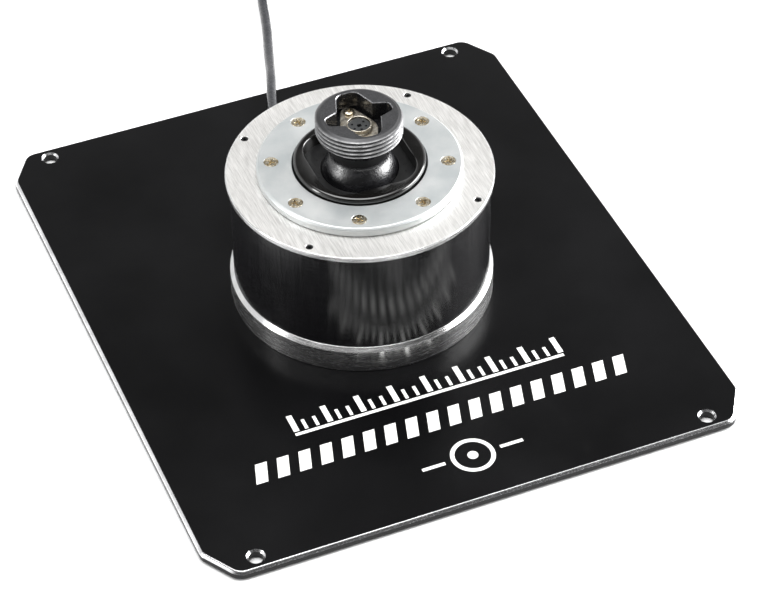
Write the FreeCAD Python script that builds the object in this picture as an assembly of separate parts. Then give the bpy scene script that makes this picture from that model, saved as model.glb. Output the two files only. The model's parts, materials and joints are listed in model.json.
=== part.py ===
import FreeCAD, Part
import math
import os
from FreeCAD import Vector

# Bare base of a flight joystick, in millimetres: a square mounting plate with a round
# housing on it, in which a ball-jointed stick ends in a threaded neck for a grip.
# Origin: bottom centre of the plate's pads. +X to the right, +Y to the cable, +Z up.

# ---- driving dimensions -------------------------------------------------------------

# mounting plate and its pads
plate_half_x = 117.3
plate_half_y = 137.2
plate_thick = 3.5
plate_bevel = 1.2
corner_cut_x = 10.0
corner_cut_y = 16.0
corner_round = 7.0
hole_r = 3.0
hole_x = 97.75
hole_y = 130.5
hole_sink = 0.8
pad_thick = 0.8
pad_width = 22.0
pad_length = 190.0
pad_inset = 14.0

# foot disc, housing tube and top ring
foot_overhang = 1.65
foot_side = 10.6
foot_bevel = 1.6
foot_floor = 4.0
spigot_wall = 5.1
spigot_rise = 5.8
tube_r = 54.2
tube_wall = 5.0
tube_height = 47.6
top_ring_overhang = 1.5
top_ring_thick = 2.5
top_ring_edge = 0.4
top_spigot = 6.0
cartridge_r = 33.7
cartridge_step = 3.0
cartridge_flange = 3.2

# retaining ring and gate
retain_r = 42.7
retain_thick = 4.0
retain_edge = 0.7
retain_bore = 27.9
retain_screw_circle = 36.5
retain_screw_count = 8
gate_r = 27.4
gate_lip = 2.5
gate_half = 20.6
gate_corner = 12.0
gate_shoulder = 1.5
gate_inner_edge = 0.8

# ball joint and the bail that keeps the stick from twisting
ball_r = 16.4
ball_drop = 3.3
ball_gap = 0.3
seat_r = 25.7
seat_rise = 4.0
socket_depth = 8.3
bail_gap = 0.6
bail_thick = 3.4
bail_arm_half = 3.0
bail_bar_half = 7.5
bail_bar_depth = 12.0
trunnion_r = 2.0
trunnion_reach = 25.2
tilt_limit = 20.0

# stick
waist_r = 11.5
waist_top = 81.0
neck_r = 18.0
neck_bottom = 86.3
neck_height = 9.2
thread_pitch = 2.0
thread_depth = 1.1
thread_crest = 0.3
neck_chamfer = 2.0
neck_spigot_r = 7.5
neck_spigot_depth = 11.5
shaft_r = 4.0
shaft_bore = 2.2
shaft_end_r = 3.0
lead_room = 5.6
disc_r = 29.0
disc_thick = 2.5
nut_flats = 10.0
nut_height = 4.0
magnet_r = 2.6
magnet_thick = 2.0

# socket for the grip's plug, in the top of the neck
recess_depth = 8.8
recess_lobe_y = (8.0, 4.2, 4.0, 14.8)
recess_lobe_x = (4.5, 2.3, 8.0, 14.5)
connector_flange_thick = 1.2
connector_r = 5.2
connector_wall = 0.5
connector_rise = 3.8
connector_tail = 6.0
ear_reach = 11.0
ear_r = 3.6

# springs
main_spring_r = 17.5
main_wire_r = 1.3
main_turns = 5
side_spring_r = 3.6
side_wire_r = 0.5
side_turns = 11
side_spring_circle = 24.2

# electronics
board_thick = 1.6
sensor_board_half = 10.0
sensor_gap = 3.9
chip_thick = 1.1
controller_half = 15.0
controller_height = 26.0
controller_inset = 7.7
ribbon_x = (2.5, 8.5)

# lead
cable_r = 2.25
cable_exit_z = 10.3
relief_collar = 1.35
relief_length = 20.0
coil_centre = (63.0, 240.0)
coil_mean_r = 25.0
coil_band = 14.4
coil_height = 16.6
coil_lift = 0.35
tie_thick = 0.3
tie_width = 12.0
plug_entry = (106.5, 233.0)
plug_width = 15.0
plug_thick = 7.6
plug_length = 31.0
plug_shell = (12.0, 4.5, 18.7)

# clearances
press_gap = 0.05
slip_gap = 0.1
free_gap = 0.3

# ---- levels and radii worked out from them ---------------------------------------------

plate_top = pad_thick + plate_thick
foot_r = tube_r + foot_overhang
top_ring_r = tube_r + top_ring_overhang
foot_side_top = plate_top + foot_side
tube_bottom = foot_side_top + foot_bevel
relief_start = foot_r + relief_collar
tube_top = tube_bottom + tube_height
tube_inner = tube_r - tube_wall
spigot_r = tube_inner - slip_gap
floor_top = plate_top + foot_floor
spigot_top = tube_bottom + spigot_rise
ring_top = tube_top + top_ring_thick
retain_top = ring_top + retain_thick
lip_top = retain_top + gate_lip
pivot_z = ring_top - ball_drop
pivot = Vector(0, 0, pivot_z)
cavity_r = ball_r + ball_gap
seat_top = pivot_z + seat_rise
socket_bottom = pivot_z - socket_depth
flange_bottom = pivot_z - cartridge_flange
bail_inner = ball_r + bail_gap
bail_outer = bail_inner + bail_thick
neck_top = neck_bottom + neck_height
recess_floor = neck_top - recess_depth
disc_top = pivot_z - bail_outer - lead_room
lead_exit_z = pivot_z - bail_outer - 0.7
disc_bottom = disc_top - disc_thick
nut_bottom = disc_bottom - nut_height
magnet_low = nut_bottom - 5.0
spring_floor = floor_top + 2.5
board_z = magnet_low - sensor_gap - chip_thick - board_thick
controller_y = spigot_r - controller_inset
diagonals = (45, 135, 225, 315)
tube_screw_angles = (22.5, 112.5, 202.5, 292.5)
plate_screw_angles = (67.5, 157.5, 247.5, 337.5)
tube_screw_circle = tube_r - tube_wall / 2
ring_screw_circle = tube_r - 2.0
plate_screw_circle = foot_r - 5.85


# ---- shape helpers ----------------------------------------------------------------------

def disc(radius, low, high):
    return Part.makeCylinder(radius, high - low, Vector(0, 0, low))


def ring(outer, inner, low, high):
    return disc(outer, low, high).cut(disc(inner, low - 1, high + 1))


def cone(low_r, high_r, low, high):
    return Part.makeCone(low_r, high_r, high - low, Vector(0, 0, low))


def block(x, y, z):
    """Box between the pairs of limits x, y and z."""
    return Part.makeBox(x[1] - x[0], y[1] - y[0], z[1] - z[0], Vector(x[0], y[0], z[0]))


def rod(radius, start, end):
    way = end - start
    return Part.makeCylinder(radius, way.Length, start, way)


def turned(profile):
    """Solid of revolution about Z of a closed outline of (radius, height) corners."""
    corners = [Vector(r, 0, z) for r, z in profile]
    face = Part.Face(Part.makePolygon(corners + corners[:1]))
    return face.revolve(Vector(0, 0, 0), Vector(0, 0, 1), 360)


def prism(outline, low, high):
    corners = [Vector(x, y, low) for x, y in outline]
    return Part.Face(Part.makePolygon(corners + corners[:1])).extrude(Vector(0, 0, high - low))


def polar(radius, angle, z=0.0):
    return Vector(radius * math.cos(math.radians(angle)), radius * math.sin(math.radians(angle)), z)


def placed(shape, where, turn=0.0):
    copy = shape.copy()
    copy.rotate(Vector(0, 0, 0), Vector(0, 0, 1), turn)
    copy.translate(where)
    return copy


def spread(shape, radius, angles, z=0.0):
    """Copies of a shape on a circle, each turned to face outwards."""
    return [placed(shape, polar(radius, a, z), a) for a in angles]


def union(shapes):
    whole = shapes[0]
    for other in shapes[1:]:
        whole = whole.fuse(other)
    return whole.removeSplitter()


def without(shape, tools):
    for tool in tools:
        shape = shape.cut(tool)
    return shape


def edges_at(shape, low, high, nearest=0.0, farthest=1e6):
    """Edges that lie between two heights, and between two distances from the Z axis."""
    found = []
    for edge in shape.Edges:
        b = edge.BoundBox
        mid = edge.valueAt((edge.FirstParameter + edge.LastParameter) / 2)
        reach = math.hypot(mid.x, mid.y)
        if low <= b.ZMin and b.ZMax <= high and nearest <= reach <= farthest:
            found.append(edge)
    return found


# ---- fasteners: each has the top of its head at z = 0 ---------------------------------------

def cross_recess(size, depth):
    arms = [block((-size, size), (-0.18 * size, 0.18 * size), (-depth, 1))]
    arms.append(block((-0.18 * size, 0.18 * size), (-size, size), (-depth, 1)))
    return union(arms)


def countersunk_screw(shank_r, head_r, length):
    head = cone(shank_r, head_r, shank_r - head_r, 0)
    body = union([head, disc(shank_r, -length, shank_r - head_r)])
    return body.cut(cross_recess(0.58 * head_r, 0.55 * (head_r - shank_r) + 0.5))


def countersunk_hole(shank_r, head_r, length):
    grown = shank_r + press_gap
    head = cone(grown, head_r + press_gap, shank_r - head_r, 0)
    return union([head, disc(grown, -length, shank_r - head_r)])


def pan_screw(shank_r, head_r, head_height, length):
    head = disc(head_r, 0, head_height)
    head = head.makeFillet(0.45 * head_height, [e for e in head.Edges
                                                if e.BoundBox.ZMin > 0.9 * head_height])
    body = union([head, disc(shank_r, -length, 0)])
    return body.cut(placed(cross_recess(0.55 * head_r, 0.5 * head_height), Vector(0, 0, head_height)))


def set_screw(shank_r, length, socket_flats):
    key = hexagon(socket_flats, -0.55 * length, 1)
    return disc(shank_r, -length, 0).cut(key)


def hexagon(flats, low, high):
    reach = flats / math.sqrt(3)
    return prism([(reach * math.cos(k * math.pi / 3), reach * math.sin(k * math.pi / 3))
                  for k in range(6)], low, high)


def upside_down(shape):
    copy = shape.copy()
    copy.rotate(Vector(0, 0, 0), Vector(1, 0, 0), 180)
    return copy


def hole_of(shank_r, length):
    return disc(shank_r + press_gap, -length, 0)


plate_screw = upside_down(countersunk_screw(2.5, 4.7, plate_thick + 7.5))
plate_screw_hole = upside_down(countersunk_hole(2.5, 4.7, plate_thick + 7.5))
plate_screw_sink = 0.2
tube_screw_length = tube_bottom - plate_top + 8.0
tube_screw = upside_down(countersunk_screw(1.5, 2.9, tube_screw_length))
tube_screw_hole = upside_down(countersunk_hole(1.5, 2.9, tube_screw_length))
ring_screw_sink = 0.5
ring_screw_length = 8.0
retain_screw = countersunk_screw(1.5, 3.0, 8.0)
retain_screw_hole = countersunk_hole(1.5, 3.0, 8.0)
seat_screw_circle = 24.2
seat_screw_length = 5.5


# ---- plate ------------------------------------------------------------------------------

def plate_outline():
    """Rectangle with long chamfered corners."""
    x = plate_half_x
    y = plate_half_y
    return [(x - corner_cut_x, -y), (x, -y + corner_cut_y), (x, y - corner_cut_y),
            (x - corner_cut_x, y), (-x + corner_cut_x, y), (-x, y - corner_cut_y),
            (-x, -y + corner_cut_y), (-x + corner_cut_x, -y)]


def mounting_plate():
    slab = prism(plate_outline(), pad_thick, plate_top)
    upright = [e for e in slab.Edges if e.BoundBox.ZLength > 0.9 * plate_thick]
    slab = slab.makeFillet(corner_round, upright)
    slab = slab.makeChamfer(plate_bevel, edges_at(slab, plate_top - 0.01, plate_top + 0.01))
    holes = []
    for x in (-hole_x, hole_x):
        for y in (-hole_y, hole_y):
            holes.append(placed(disc(hole_r, 0, plate_top + 1), Vector(x, y, 0)))
            mouth = cone(hole_r, hole_r + hole_sink, plate_top - hole_sink, plate_top)
            holes.append(placed(mouth, Vector(x, y, 0)))
    holes += spread(plate_screw_hole, plate_screw_circle, plate_screw_angles,
                    pad_thick + plate_screw_sink)
    mouths = disc(4.7 + press_gap, pad_thick - 1, pad_thick + plate_screw_sink)
    holes += spread(mouths, plate_screw_circle, plate_screw_angles)
    return without(slab, holes)


def plate_pads():
    pads = []
    for side in (-1, 1):
        middle = side * (plate_half_x - pad_inset - pad_width / 2)
        pad = block((middle - pad_width / 2, middle + pad_width / 2),
                    (-pad_length / 2, pad_length / 2), (0, pad_thick))
        upright = [e for e in pad.Edges if e.BoundBox.ZLength > 0.9 * pad_thick]
        pads.append(pad.makeFillet(5.0, upright))
    return Part.makeCompound(pads)


def plate_screws():
    return Part.makeCompound(spread(plate_screw, plate_screw_circle, plate_screw_angles,
                                    pad_thick + plate_screw_sink))


# ---- housing ----------------------------------------------------------------------------

def base_disc():
    bore = spigot_r - spigot_wall
    body = turned([(0, plate_top), (foot_r, plate_top), (foot_r, foot_side_top),
                   (foot_r - foot_bevel, tube_bottom), (spigot_r, tube_bottom),
                   (spigot_r, spigot_top), (bore, spigot_top), (bore, floor_top), (0, floor_top)])
    holes = spread(plate_screw_hole, plate_screw_circle, plate_screw_angles,
                   pad_thick + plate_screw_sink)
    holes += spread(tube_screw_hole, tube_screw_circle, tube_screw_angles, plate_top)
    holes += spread(hole_of(1.5, seat_screw_length), seat_screw_circle, diagonals,
                    spring_floor)
    holes.append(gland_body(press_gap))
    holes.append(rod(6.0, Vector(0, foot_r - 0.7, cable_exit_z), Vector(0, foot_r + 5, cable_exit_z)))
    return without(body, holes)


def tube_screws():
    return Part.makeCompound(spread(tube_screw, tube_screw_circle, tube_screw_angles, plate_top))


def housing_tube():
    body = ring(tube_r, tube_inner, tube_bottom, tube_top)
    holes = spread(tube_screw_hole, tube_screw_circle, tube_screw_angles, plate_top)
    holes += spread(hole_of(1.25, ring_screw_length), ring_screw_circle, diagonals,
                    ring_top - ring_screw_sink)
    return without(body, holes)


def top_ring():
    step = flange_bottom
    low = tube_top - top_spigot
    body = turned([(cartridge_r - cartridge_step + slip_gap, low), (spigot_r, low),
                   (spigot_r, tube_top), (top_ring_r - top_ring_edge, tube_top),
                   (top_ring_r, tube_top + top_ring_edge),
                   (top_ring_r, ring_top - top_ring_edge), (top_ring_r - top_ring_edge, ring_top),
                   (cartridge_r + slip_gap, ring_top), (cartridge_r + slip_gap, step),
                   (cartridge_r - cartridge_step + slip_gap, step)])
    holes = spread(hole_of(1.25, ring_screw_length), ring_screw_circle, diagonals,
                   ring_top - ring_screw_sink)
    holes += spread(disc(1.7, -ring_screw_sink, 1), ring_screw_circle, diagonals, ring_top)
    holes += spread(retain_screw_hole, retain_screw_circle, retain_screw_angles(), retain_top)
    return without(body, holes)


def ring_screws():
    screw = set_screw(1.25, ring_screw_length, 1.3)
    return Part.makeCompound(spread(screw, ring_screw_circle, diagonals,
                                    ring_top - ring_screw_sink))


def retain_screw_angles():
    step = 360 / retain_screw_count
    return [step / 2 + k * step for k in range(retain_screw_count)]


def retaining_ring():
    body = turned([(retain_bore, ring_top), (retain_r, ring_top),
                   (retain_r, retain_top - retain_edge), (retain_r - retain_edge, retain_top),
                   (retain_bore + 0.4, retain_top), (retain_bore, retain_top - 0.4)])
    return without(body, spread(retain_screw_hole, retain_screw_circle,
                                retain_screw_angles(), retain_top))


def retaining_screws():
    return Part.makeCompound(spread(retain_screw, retain_screw_circle,
                                    retain_screw_angles(), retain_top))


def gate_bezel():
    body = union([disc(gate_r, pivot_z, lip_top), disc(cartridge_r, pivot_z, ring_top)])
    body = body.makeFillet(gate_shoulder, edges_at(body, lip_top - 0.01, lip_top + 0.01))
    mouth = block((-gate_half, gate_half), (-gate_half, gate_half), (seat_top - 1, lip_top + 1))
    upright = [e for e in mouth.Edges if e.BoundBox.ZLength > 1]
    body = body.cut(mouth.makeFillet(gate_corner, upright))
    rim = edges_at(body, lip_top - 0.01, lip_top + 0.01, 0, gate_r - gate_shoulder - 0.3)
    body = body.makeFillet(gate_inner_edge, rim)
    return body.cut(disc(seat_r + slip_gap, pivot_z - 1, seat_top))


# ---- ball joint ---------------------------------------------------------------------------

def trunnion_bores():
    reach = trunnion_reach + 0.2
    return [rod(trunnion_r + press_gap, Vector(s * bail_inner, 0, pivot_z),
                Vector(s * reach, 0, pivot_z)) for s in (-1, 1)]


def upper_seat():
    body = disc(seat_r, pivot_z, seat_top).cut(Part.makeSphere(cavity_r, pivot))
    pockets = [rod(bail_arm_half + free_gap, Vector(s * 10, 0, pivot_z),
                   Vector(s * (bail_outer + free_gap), 0, pivot_z)) for s in (-1, 1)]
    return without(body, pockets + trunnion_bores())


def ball_socket():
    body = union([disc(cartridge_r - cartridge_step, socket_bottom, pivot_z),
                  disc(cartridge_r, flange_bottom, pivot_z)])
    body = body.cut(Part.makeSphere(cavity_r, pivot))
    swing = math.radians(tilt_limit)
    room = bail_arm_half * math.cos(swing) + socket_depth * math.sin(swing) + 2 * free_gap
    slots = [block((min(s * 8, s * (bail_outer + free_gap)), max(s * 8, s * (bail_outer + free_gap))),
                   (-room, room), (socket_bottom - 1, pivot_z + 1)) for s in (-1, 1)]
    return without(body, slots + trunnion_bores())


def guide_bail():
    hoop = rod(bail_outer, Vector(0, -bail_bar_half, pivot_z), Vector(0, bail_bar_half, pivot_z))
    hoop = hoop.cut(rod(bail_inner, Vector(0, -50, pivot_z), Vector(0, 50, pivot_z)))
    side = bail_outer + 1
    arms = block((-side, side), (-bail_arm_half, bail_arm_half), (pivot_z - side, pivot_z))
    bar = block((-side, side), (-bail_bar_half, bail_bar_half),
                (pivot_z - side, pivot_z - bail_bar_depth))
    hoop = hoop.common(union([arms, bar]))
    swing = math.radians(tilt_limit)
    slot_half = bail_outer * math.sin(swing) + shaft_r / math.cos(swing) + 2 * free_gap
    slot = block((-slot_half, slot_half), (-shaft_r - free_gap, shaft_r + free_gap),
                 (pivot_z - side, pivot_z - bail_bar_depth))
    hoop = hoop.cut(slot)
    pieces = [hoop]
    for s in (-1, 1):
        pieces.append(rod(bail_arm_half, Vector(s * bail_inner, 0, pivot_z),
                          Vector(s * bail_outer, 0, pivot_z)))
        pieces.append(rod(trunnion_r, Vector(s * bail_inner, 0, pivot_z),
                          Vector(s * trunnion_reach, 0, pivot_z)))
    return union(pieces)


def pivot_ball():
    body = Part.makeSphere(ball_r, pivot)
    spigot = disc(neck_spigot_r + press_gap, neck_spigot_bottom(), pivot_z + ball_r + 1)
    return without(body, [spigot, disc(shaft_r + press_gap, pivot_z - ball_r - 1, pivot_z + ball_r)])


# ---- stick --------------------------------------------------------------------------------

def neck_spigot_bottom():
    return pivot_z + ball_r - neck_spigot_depth


def lobe(half_wide, half_narrow, near, reach):
    """Outline of one tapering arm of the recess, along +Y from the centre."""
    shoulder = reach - half_narrow * 0.55
    return [(-half_wide, 0), (half_wide, 0), (half_wide, near), (half_narrow, shoulder),
            (half_narrow * 0.55, reach), (-half_narrow * 0.55, reach), (-half_narrow, shoulder),
            (-half_wide, near)]


def recess():
    arms = []
    for turn, size in ((0, recess_lobe_y), (180, recess_lobe_y),
                       (90, recess_lobe_x), (270, recess_lobe_x)):
        arms.append(placed(prism(lobe(*size), recess_floor, neck_top + 1), Vector(0, 0, 0), turn))
    return union(arms)


def threaded_neck():
    root = neck_r - thread_depth
    flank = (thread_pitch - 2 * thread_crest) / 2
    outline = [(0, pivot_z), (waist_r, pivot_z), (waist_r, waist_top), (root, neck_bottom)]
    z = neck_bottom
    while z + thread_pitch < neck_top - neck_chamfer / 2:
        outline += [(neck_r, z + flank), (neck_r, z + flank + thread_crest),
                    (root, z + 2 * flank + thread_crest), (root, z + thread_pitch)]
        z += thread_pitch
    outline += [(neck_r - 0.2, neck_top - neck_chamfer / 2 + 0.2),
                (neck_r - neck_chamfer, neck_top), (0, neck_top)]
    body = turned(outline)
    body = body.cut(Part.makeSphere(ball_r, pivot))
    body = union([body, disc(neck_spigot_r, neck_spigot_bottom(), pivot_z + ball_r + 2)])
    tail = recess_floor - connector_tail
    bores = [disc(connector_r + slip_gap, tail, recess_floor + 1),
             disc(shaft_bore, neck_spigot_bottom() - 1, tail + 1),
             disc(shaft_r + press_gap, neck_spigot_bottom() - 1, shaft_top())]
    bores += [placed(hole_of(1.25, 3.2 + 1), Vector(0, s * ear_reach, recess_floor + 1))
              for s in (-1, 1)]
    return without(body, bores + [recess()])


def shaft_top():
    return neck_spigot_bottom() + 7.0


def shaft():
    body = union([disc(shaft_r, disc_top, shaft_top()),
                  disc(shaft_end_r, nut_bottom - 2.0, disc_top + 1)])
    bore = disc(shaft_bore, lead_exit_z - 2.0, shaft_top() + 1)
    window = rod(1.4, Vector(0, 0, lead_exit_z), Vector(0, shaft_r + 1, lead_exit_z))
    return without(body, [bore, window])


def spring_disc():
    guide = main_spring_r - main_wire_r - free_gap
    peg = side_spring_r - side_wire_r - free_gap
    pieces = [disc(disc_r, disc_bottom, disc_top), ring(guide, guide - 3, disc_bottom - 1.5, disc_top)]
    pieces += spread(disc(peg, disc_bottom - 2, disc_top), side_spring_circle, (0, 90, 180, 270))
    return union(pieces).cut(disc(shaft_end_r + press_gap, disc_bottom - 5, disc_top + 1))


def disc_nut():
    return hexagon(nut_flats, nut_bottom, disc_bottom).cut(
        disc(shaft_end_r + press_gap, nut_bottom - 1, disc_bottom + 1))


def magnet_holder():
    body = disc(4.6, magnet_low, nut_bottom)
    return without(body, [disc(shaft_end_r + press_gap, nut_bottom - 2.0, nut_bottom + 1),
                          disc(magnet_r + press_gap, magnet_low - 1, magnet_low + magnet_thick)])


def magnet():
    return disc(magnet_r, magnet_low, magnet_low + magnet_thick)


def connector_flange():
    top = recess_floor + connector_flange_thick
    ear = disc(ear_r, recess_floor, top)
    centre = disc(7.8, recess_floor, top)
    lean = math.asin((7.8 - ear_r) / ear_reach)
    cx = math.cos(lean)
    sx = math.sin(lean)
    outline = [(7.8 * cx, 7.8 * sx), (ear_r * cx, ear_reach + ear_r * sx),
               (-ear_r * cx, ear_reach + ear_r * sx), (-7.8 * cx, 7.8 * sx)]
    wing = prism(outline, recess_floor, top)
    body = union([centre, placed(ear, Vector(0, ear_reach, 0)), placed(ear, Vector(0, -ear_reach, 0)),
                  wing, placed(wing, Vector(0, 0, 0), 180)])
    holes = [disc(connector_r + press_gap, recess_floor - 1, top + 1)]
    holes += [placed(disc(1.25 + press_gap, recess_floor - 1, top + 1), Vector(0, s * ear_reach, 0))
              for s in (-1, 1)]
    return without(body, holes)


def connector_shell():
    return ring(connector_r, connector_r - connector_wall, recess_floor - connector_tail,
                recess_floor + connector_rise)


def connector_insert():
    top = recess_floor + connector_rise - 0.8
    body = disc(connector_r - connector_wall - press_gap, recess_floor - connector_tail, top)
    pins = [placed(disc(0.5, top - 4, top + 1), polar(2.9, 90 + 60 * k))
            for k in (-2, -1, 1, 2, 3)]
    key = block((-0.9, 0.9), (-1.1, 0.6), (top - 4, top + 1))
    return without(body, pins + [key])


def connector_screws():
    screw = pan_screw(1.25, 2.3, 1.2, 3.2)
    top = recess_floor + connector_flange_thick
    return Part.makeCompound([placed(screw, Vector(0, s * ear_reach, top)) for s in (-1, 1)])


# ---- springs ------------------------------------------------------------------------------

def coil_spring(mean_r, wire_r, turns, low, high):
    rise = high - low - 2 * wire_r - 0.4
    start = low + wire_r + 0.2
    line = Part.makeHelix(rise / turns, rise, mean_r)
    profile = Part.Wire(Part.Circle(Vector(mean_r, 0, 0), Vector(0, 1, 0), wire_r).toShape())
    spring = Part.Wire(line.Edges).makePipeShell([profile], True, True)
    spring.translate(Vector(0, 0, start))
    return spring


def spring_seat():
    guide = main_spring_r - main_wire_r - free_gap
    peg = side_spring_r - side_wire_r - free_gap
    pieces = [disc(disc_r + 1, floor_top, spring_floor),
              ring(guide, guide - 2.4, floor_top, spring_floor + 2)]
    pieces += spread(disc(peg, floor_top, spring_floor + 3), side_spring_circle, (0, 90, 180, 270))
    pieces += [placed(disc(2.2, floor_top, board_z), where) for where in sensor_posts()]
    holes = spread(hole_of(1.5, 9), seat_screw_circle, diagonals, spring_floor + 1)
    holes += [placed(hole_of(1.0, 6), where + Vector(0, 0, board_z)) for where in sensor_posts()]
    slot = (ribbon_x[0] - slip_gap, ribbon_x[1] + slip_gap)
    holes.append(block(slot, (sensor_board_half - 1, disc_r + 3), (floor_top - 1, floor_top + 0.7)))
    holes.append(block(slot, (sensor_board_half - 1, sensor_board_half), (floor_top - 1, 2 * board_z)))
    return without(union(pieces), holes)


def seat_screws():
    screw = pan_screw(1.5, 2.7, 1.6, seat_screw_length)
    return Part.makeCompound(spread(screw, seat_screw_circle, diagonals, spring_floor))


def main_spring():
    return coil_spring(main_spring_r, main_wire_r, main_turns, spring_floor, disc_bottom)


def side_springs():
    spring = coil_spring(side_spring_r, side_wire_r, side_turns, spring_floor, disc_bottom)
    return Part.makeCompound(spread(spring, side_spring_circle, (0, 90, 180, 270)))


# ---- electronics --------------------------------------------------------------------------

def sensor_posts():
    return [Vector(7, -7, 0), Vector(-7, -7, 0)]


def sensor_board():
    half = sensor_board_half
    body = block((-half, half), (-half, half - 1), (board_z, board_z + board_thick))
    return without(body, [placed(disc(1.0 + press_gap, board_z - 1, board_z + 3), where)
                          for where in sensor_posts()])


def hall_sensor():
    low = board_z + board_thick
    return block((-2.5, 2.5), (-2.2, 2.2), (low, low + chip_thick))


def sensor_screws():
    screw = pan_screw(1.0, 1.9, 1.1, 5.0)
    return Part.makeCompound([placed(screw, where + Vector(0, 0, board_z + board_thick))
                              for where in sensor_posts()])


def sensor_ribbon():
    """Flat lead from the sensor board down, under the springs' seat and up to the controller."""
    low = floor_top + 0.05
    end = controller_y - 0.1
    pieces = [block(ribbon_x, (sensor_board_half - 0.9, sensor_board_half - 0.3),
                    (low, board_z + board_thick)),
              block(ribbon_x, (sensor_board_half - 0.9, end), (low, low + 0.6)),
              block(ribbon_x, (end - 0.6, end), (low, spigot_top + 6))]
    return union(pieces)


def bracket_levels():
    return spigot_top + 1.5, spigot_top + 1.5 + 20.0


def board_bracket():
    foot, top = bracket_levels()
    back = controller_y + board_thick + 1.5
    pieces = [block((-8, 8), (back, back + 3.2), (spigot_top, foot)),
              block((-8, 8), (back, back + 1.5), (spigot_top, top))]
    for x in (-5, 5):
        pieces.append(rod(1.9, Vector(x, back, top - 4), Vector(x, controller_y + board_thick, top - 4)))
    body = union(pieces).common(disc(spigot_r - 0.4, spigot_top - 1, top + 1))
    bores = [rod(1.0 + press_gap, Vector(x, controller_y, top - 4), Vector(x, back + 3, top - 4))
             for x in (-5, 5)]
    return without(body, bores)


def bracket_screws():
    top = bracket_levels()[1]
    screw = pan_screw(1.0, 1.9, 1.1, 4.2)
    screw.rotate(Vector(0, 0, 0), Vector(1, 0, 0), 90)
    return Part.makeCompound([placed(screw, Vector(x, controller_y, top - 4)) for x in (-5, 5)])


def controller_board():
    low = spigot_top + 2.0
    body = block((-controller_half, controller_half), (controller_y, controller_y + board_thick),
                 (low, low + controller_height))
    top = bracket_levels()[1]
    back = controller_y + board_thick + 1
    return without(body, [rod(1.0 + press_gap, Vector(x, controller_y - 1, top - 4),
                              Vector(x, back, top - 4)) for x in (-5, 5)])


def controller_chips():
    front = controller_y - 1.2
    low = spigot_top + 10.0
    return Part.makeCompound([block((-14, -7.5), (front, controller_y), (low, low + 6.5)),
                              block((-3, 2), (front, controller_y), (low - 4, low))])


def board_headers():
    back = controller_y + board_thick
    low = spigot_top + 3.0
    return Part.makeCompound([block((-14, -9), (back, back + 2.6), (low, low + 8)),
                              block((9, 14), (back, back + 2.6), (low + 13, low + 21))])


def inner_cable():
    """The lead inside the foot, from the gland up to the controller's header."""
    low = spigot_top + 3.0
    near = controller_y - 3.4
    route = [Vector(0, gland_start(), cable_exit_z), Vector(0, near, cable_exit_z),
             Vector(-4, near - 0.8, cable_exit_z + 7), Vector(-9.0, near + 0.2, cable_exit_z + 13),
             Vector(-11.5, near + 1.2, low + 4)]
    body = tube_along(route, 1.6)[0]
    return body.cut(block((-50, 50), (controller_y - 0.05, 60), (cable_exit_z + 5, 90)))


def connector_lead():
    """Slack lead from the grip's socket, down the shaft and across to the controller."""
    down = disc(1.1, lead_exit_z - 1.1, recess_floor - connector_tail)
    end = controller_y + 1.0
    route = [Vector(0, 0, lead_exit_z), Vector(0, 13, lead_exit_z),
             Vector(3, end - 17, lead_exit_z + 2.5), Vector(9, end - 8, lead_exit_z + 2.0),
             Vector(11.5, end, lead_exit_z - 1.0)]
    across = tube_along(route, 1.1)[0]
    return union([down, across.cut(block((-50, 50), (controller_y - 0.05, 60), (0, 90)))])


# ---- lead outside --------------------------------------------------------------------------

def corner_radius(before, corner, after):
    """Largest tidy bend at a corner: 0.45 of its shorter run over the tangent of half its turn."""
    come = corner - before
    go = after - corner
    turn = come.getAngle(go)
    return 0.45 * min(come.Length, go.Length) / math.tan(turn / 2)


def tube_along(route, radius):
    """Round tube of straight runs joined by tangent arcs, with its bend radii and its length."""
    edges = []
    radii = []
    here = route[0]
    for before, corner, after in zip(route, route[1:], route[2:]):
        come = (corner - before).normalize()
        go = (after - corner).normalize()
        turn = come.getAngle(go)
        bend = corner_radius(before, corner, after)
        reach = bend * math.tan(turn / 2)
        start = corner - come * reach
        end = corner + go * reach
        inward = (go - come).normalize()
        middle = corner + inward * (bend / math.cos(turn / 2) - bend)
        edges.append(Part.LineSegment(here, start).toShape())
        edges.append(Part.Arc(start, middle, end).toShape())
        radii.append(bend)
        here = end
    edges.append(Part.LineSegment(here, route[-1]).toShape())
    path = Part.Wire(edges)
    first = route[1] - route[0]
    profile = Part.Wire(Part.Circle(route[0], first, radius).toShape())
    return path.makePipeShell([profile], True, False), radii, path.Length


def gland_start():
    return spigot_r - spigot_wall - 1.0


def gland_body(gap=0.0):
    return rod(3.6 + gap, Vector(0, gland_start(), cable_exit_z),
               Vector(0, foot_r - 0.6, cable_exit_z))


def strain_relief():
    """Gland in the foot's wall and the tapered sleeve behind it, one moulding."""
    flange = rod(5.2, Vector(0, foot_r - 0.7, cable_exit_z), Vector(0, relief_start, cable_exit_z))
    sleeve = Part.makeCone(4.3, 2.9, relief_length, Vector(0, relief_start, cable_exit_z),
                           Vector(0, 1, 0))
    body = union([gland_body(), flange, sleeve])
    grooves = []
    for k in range(5):
        y = relief_start + 3.0 + 3.2 * k
        outer = rod(6.0, Vector(0, y, cable_exit_z), Vector(0, y + 1.2, cable_exit_z))
        grooves.append(outer.cut(rod(cable_r + 0.5, Vector(0, y - 1, cable_exit_z),
                                     Vector(0, y + 3, cable_exit_z))))
    return without(body, grooves)


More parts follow.
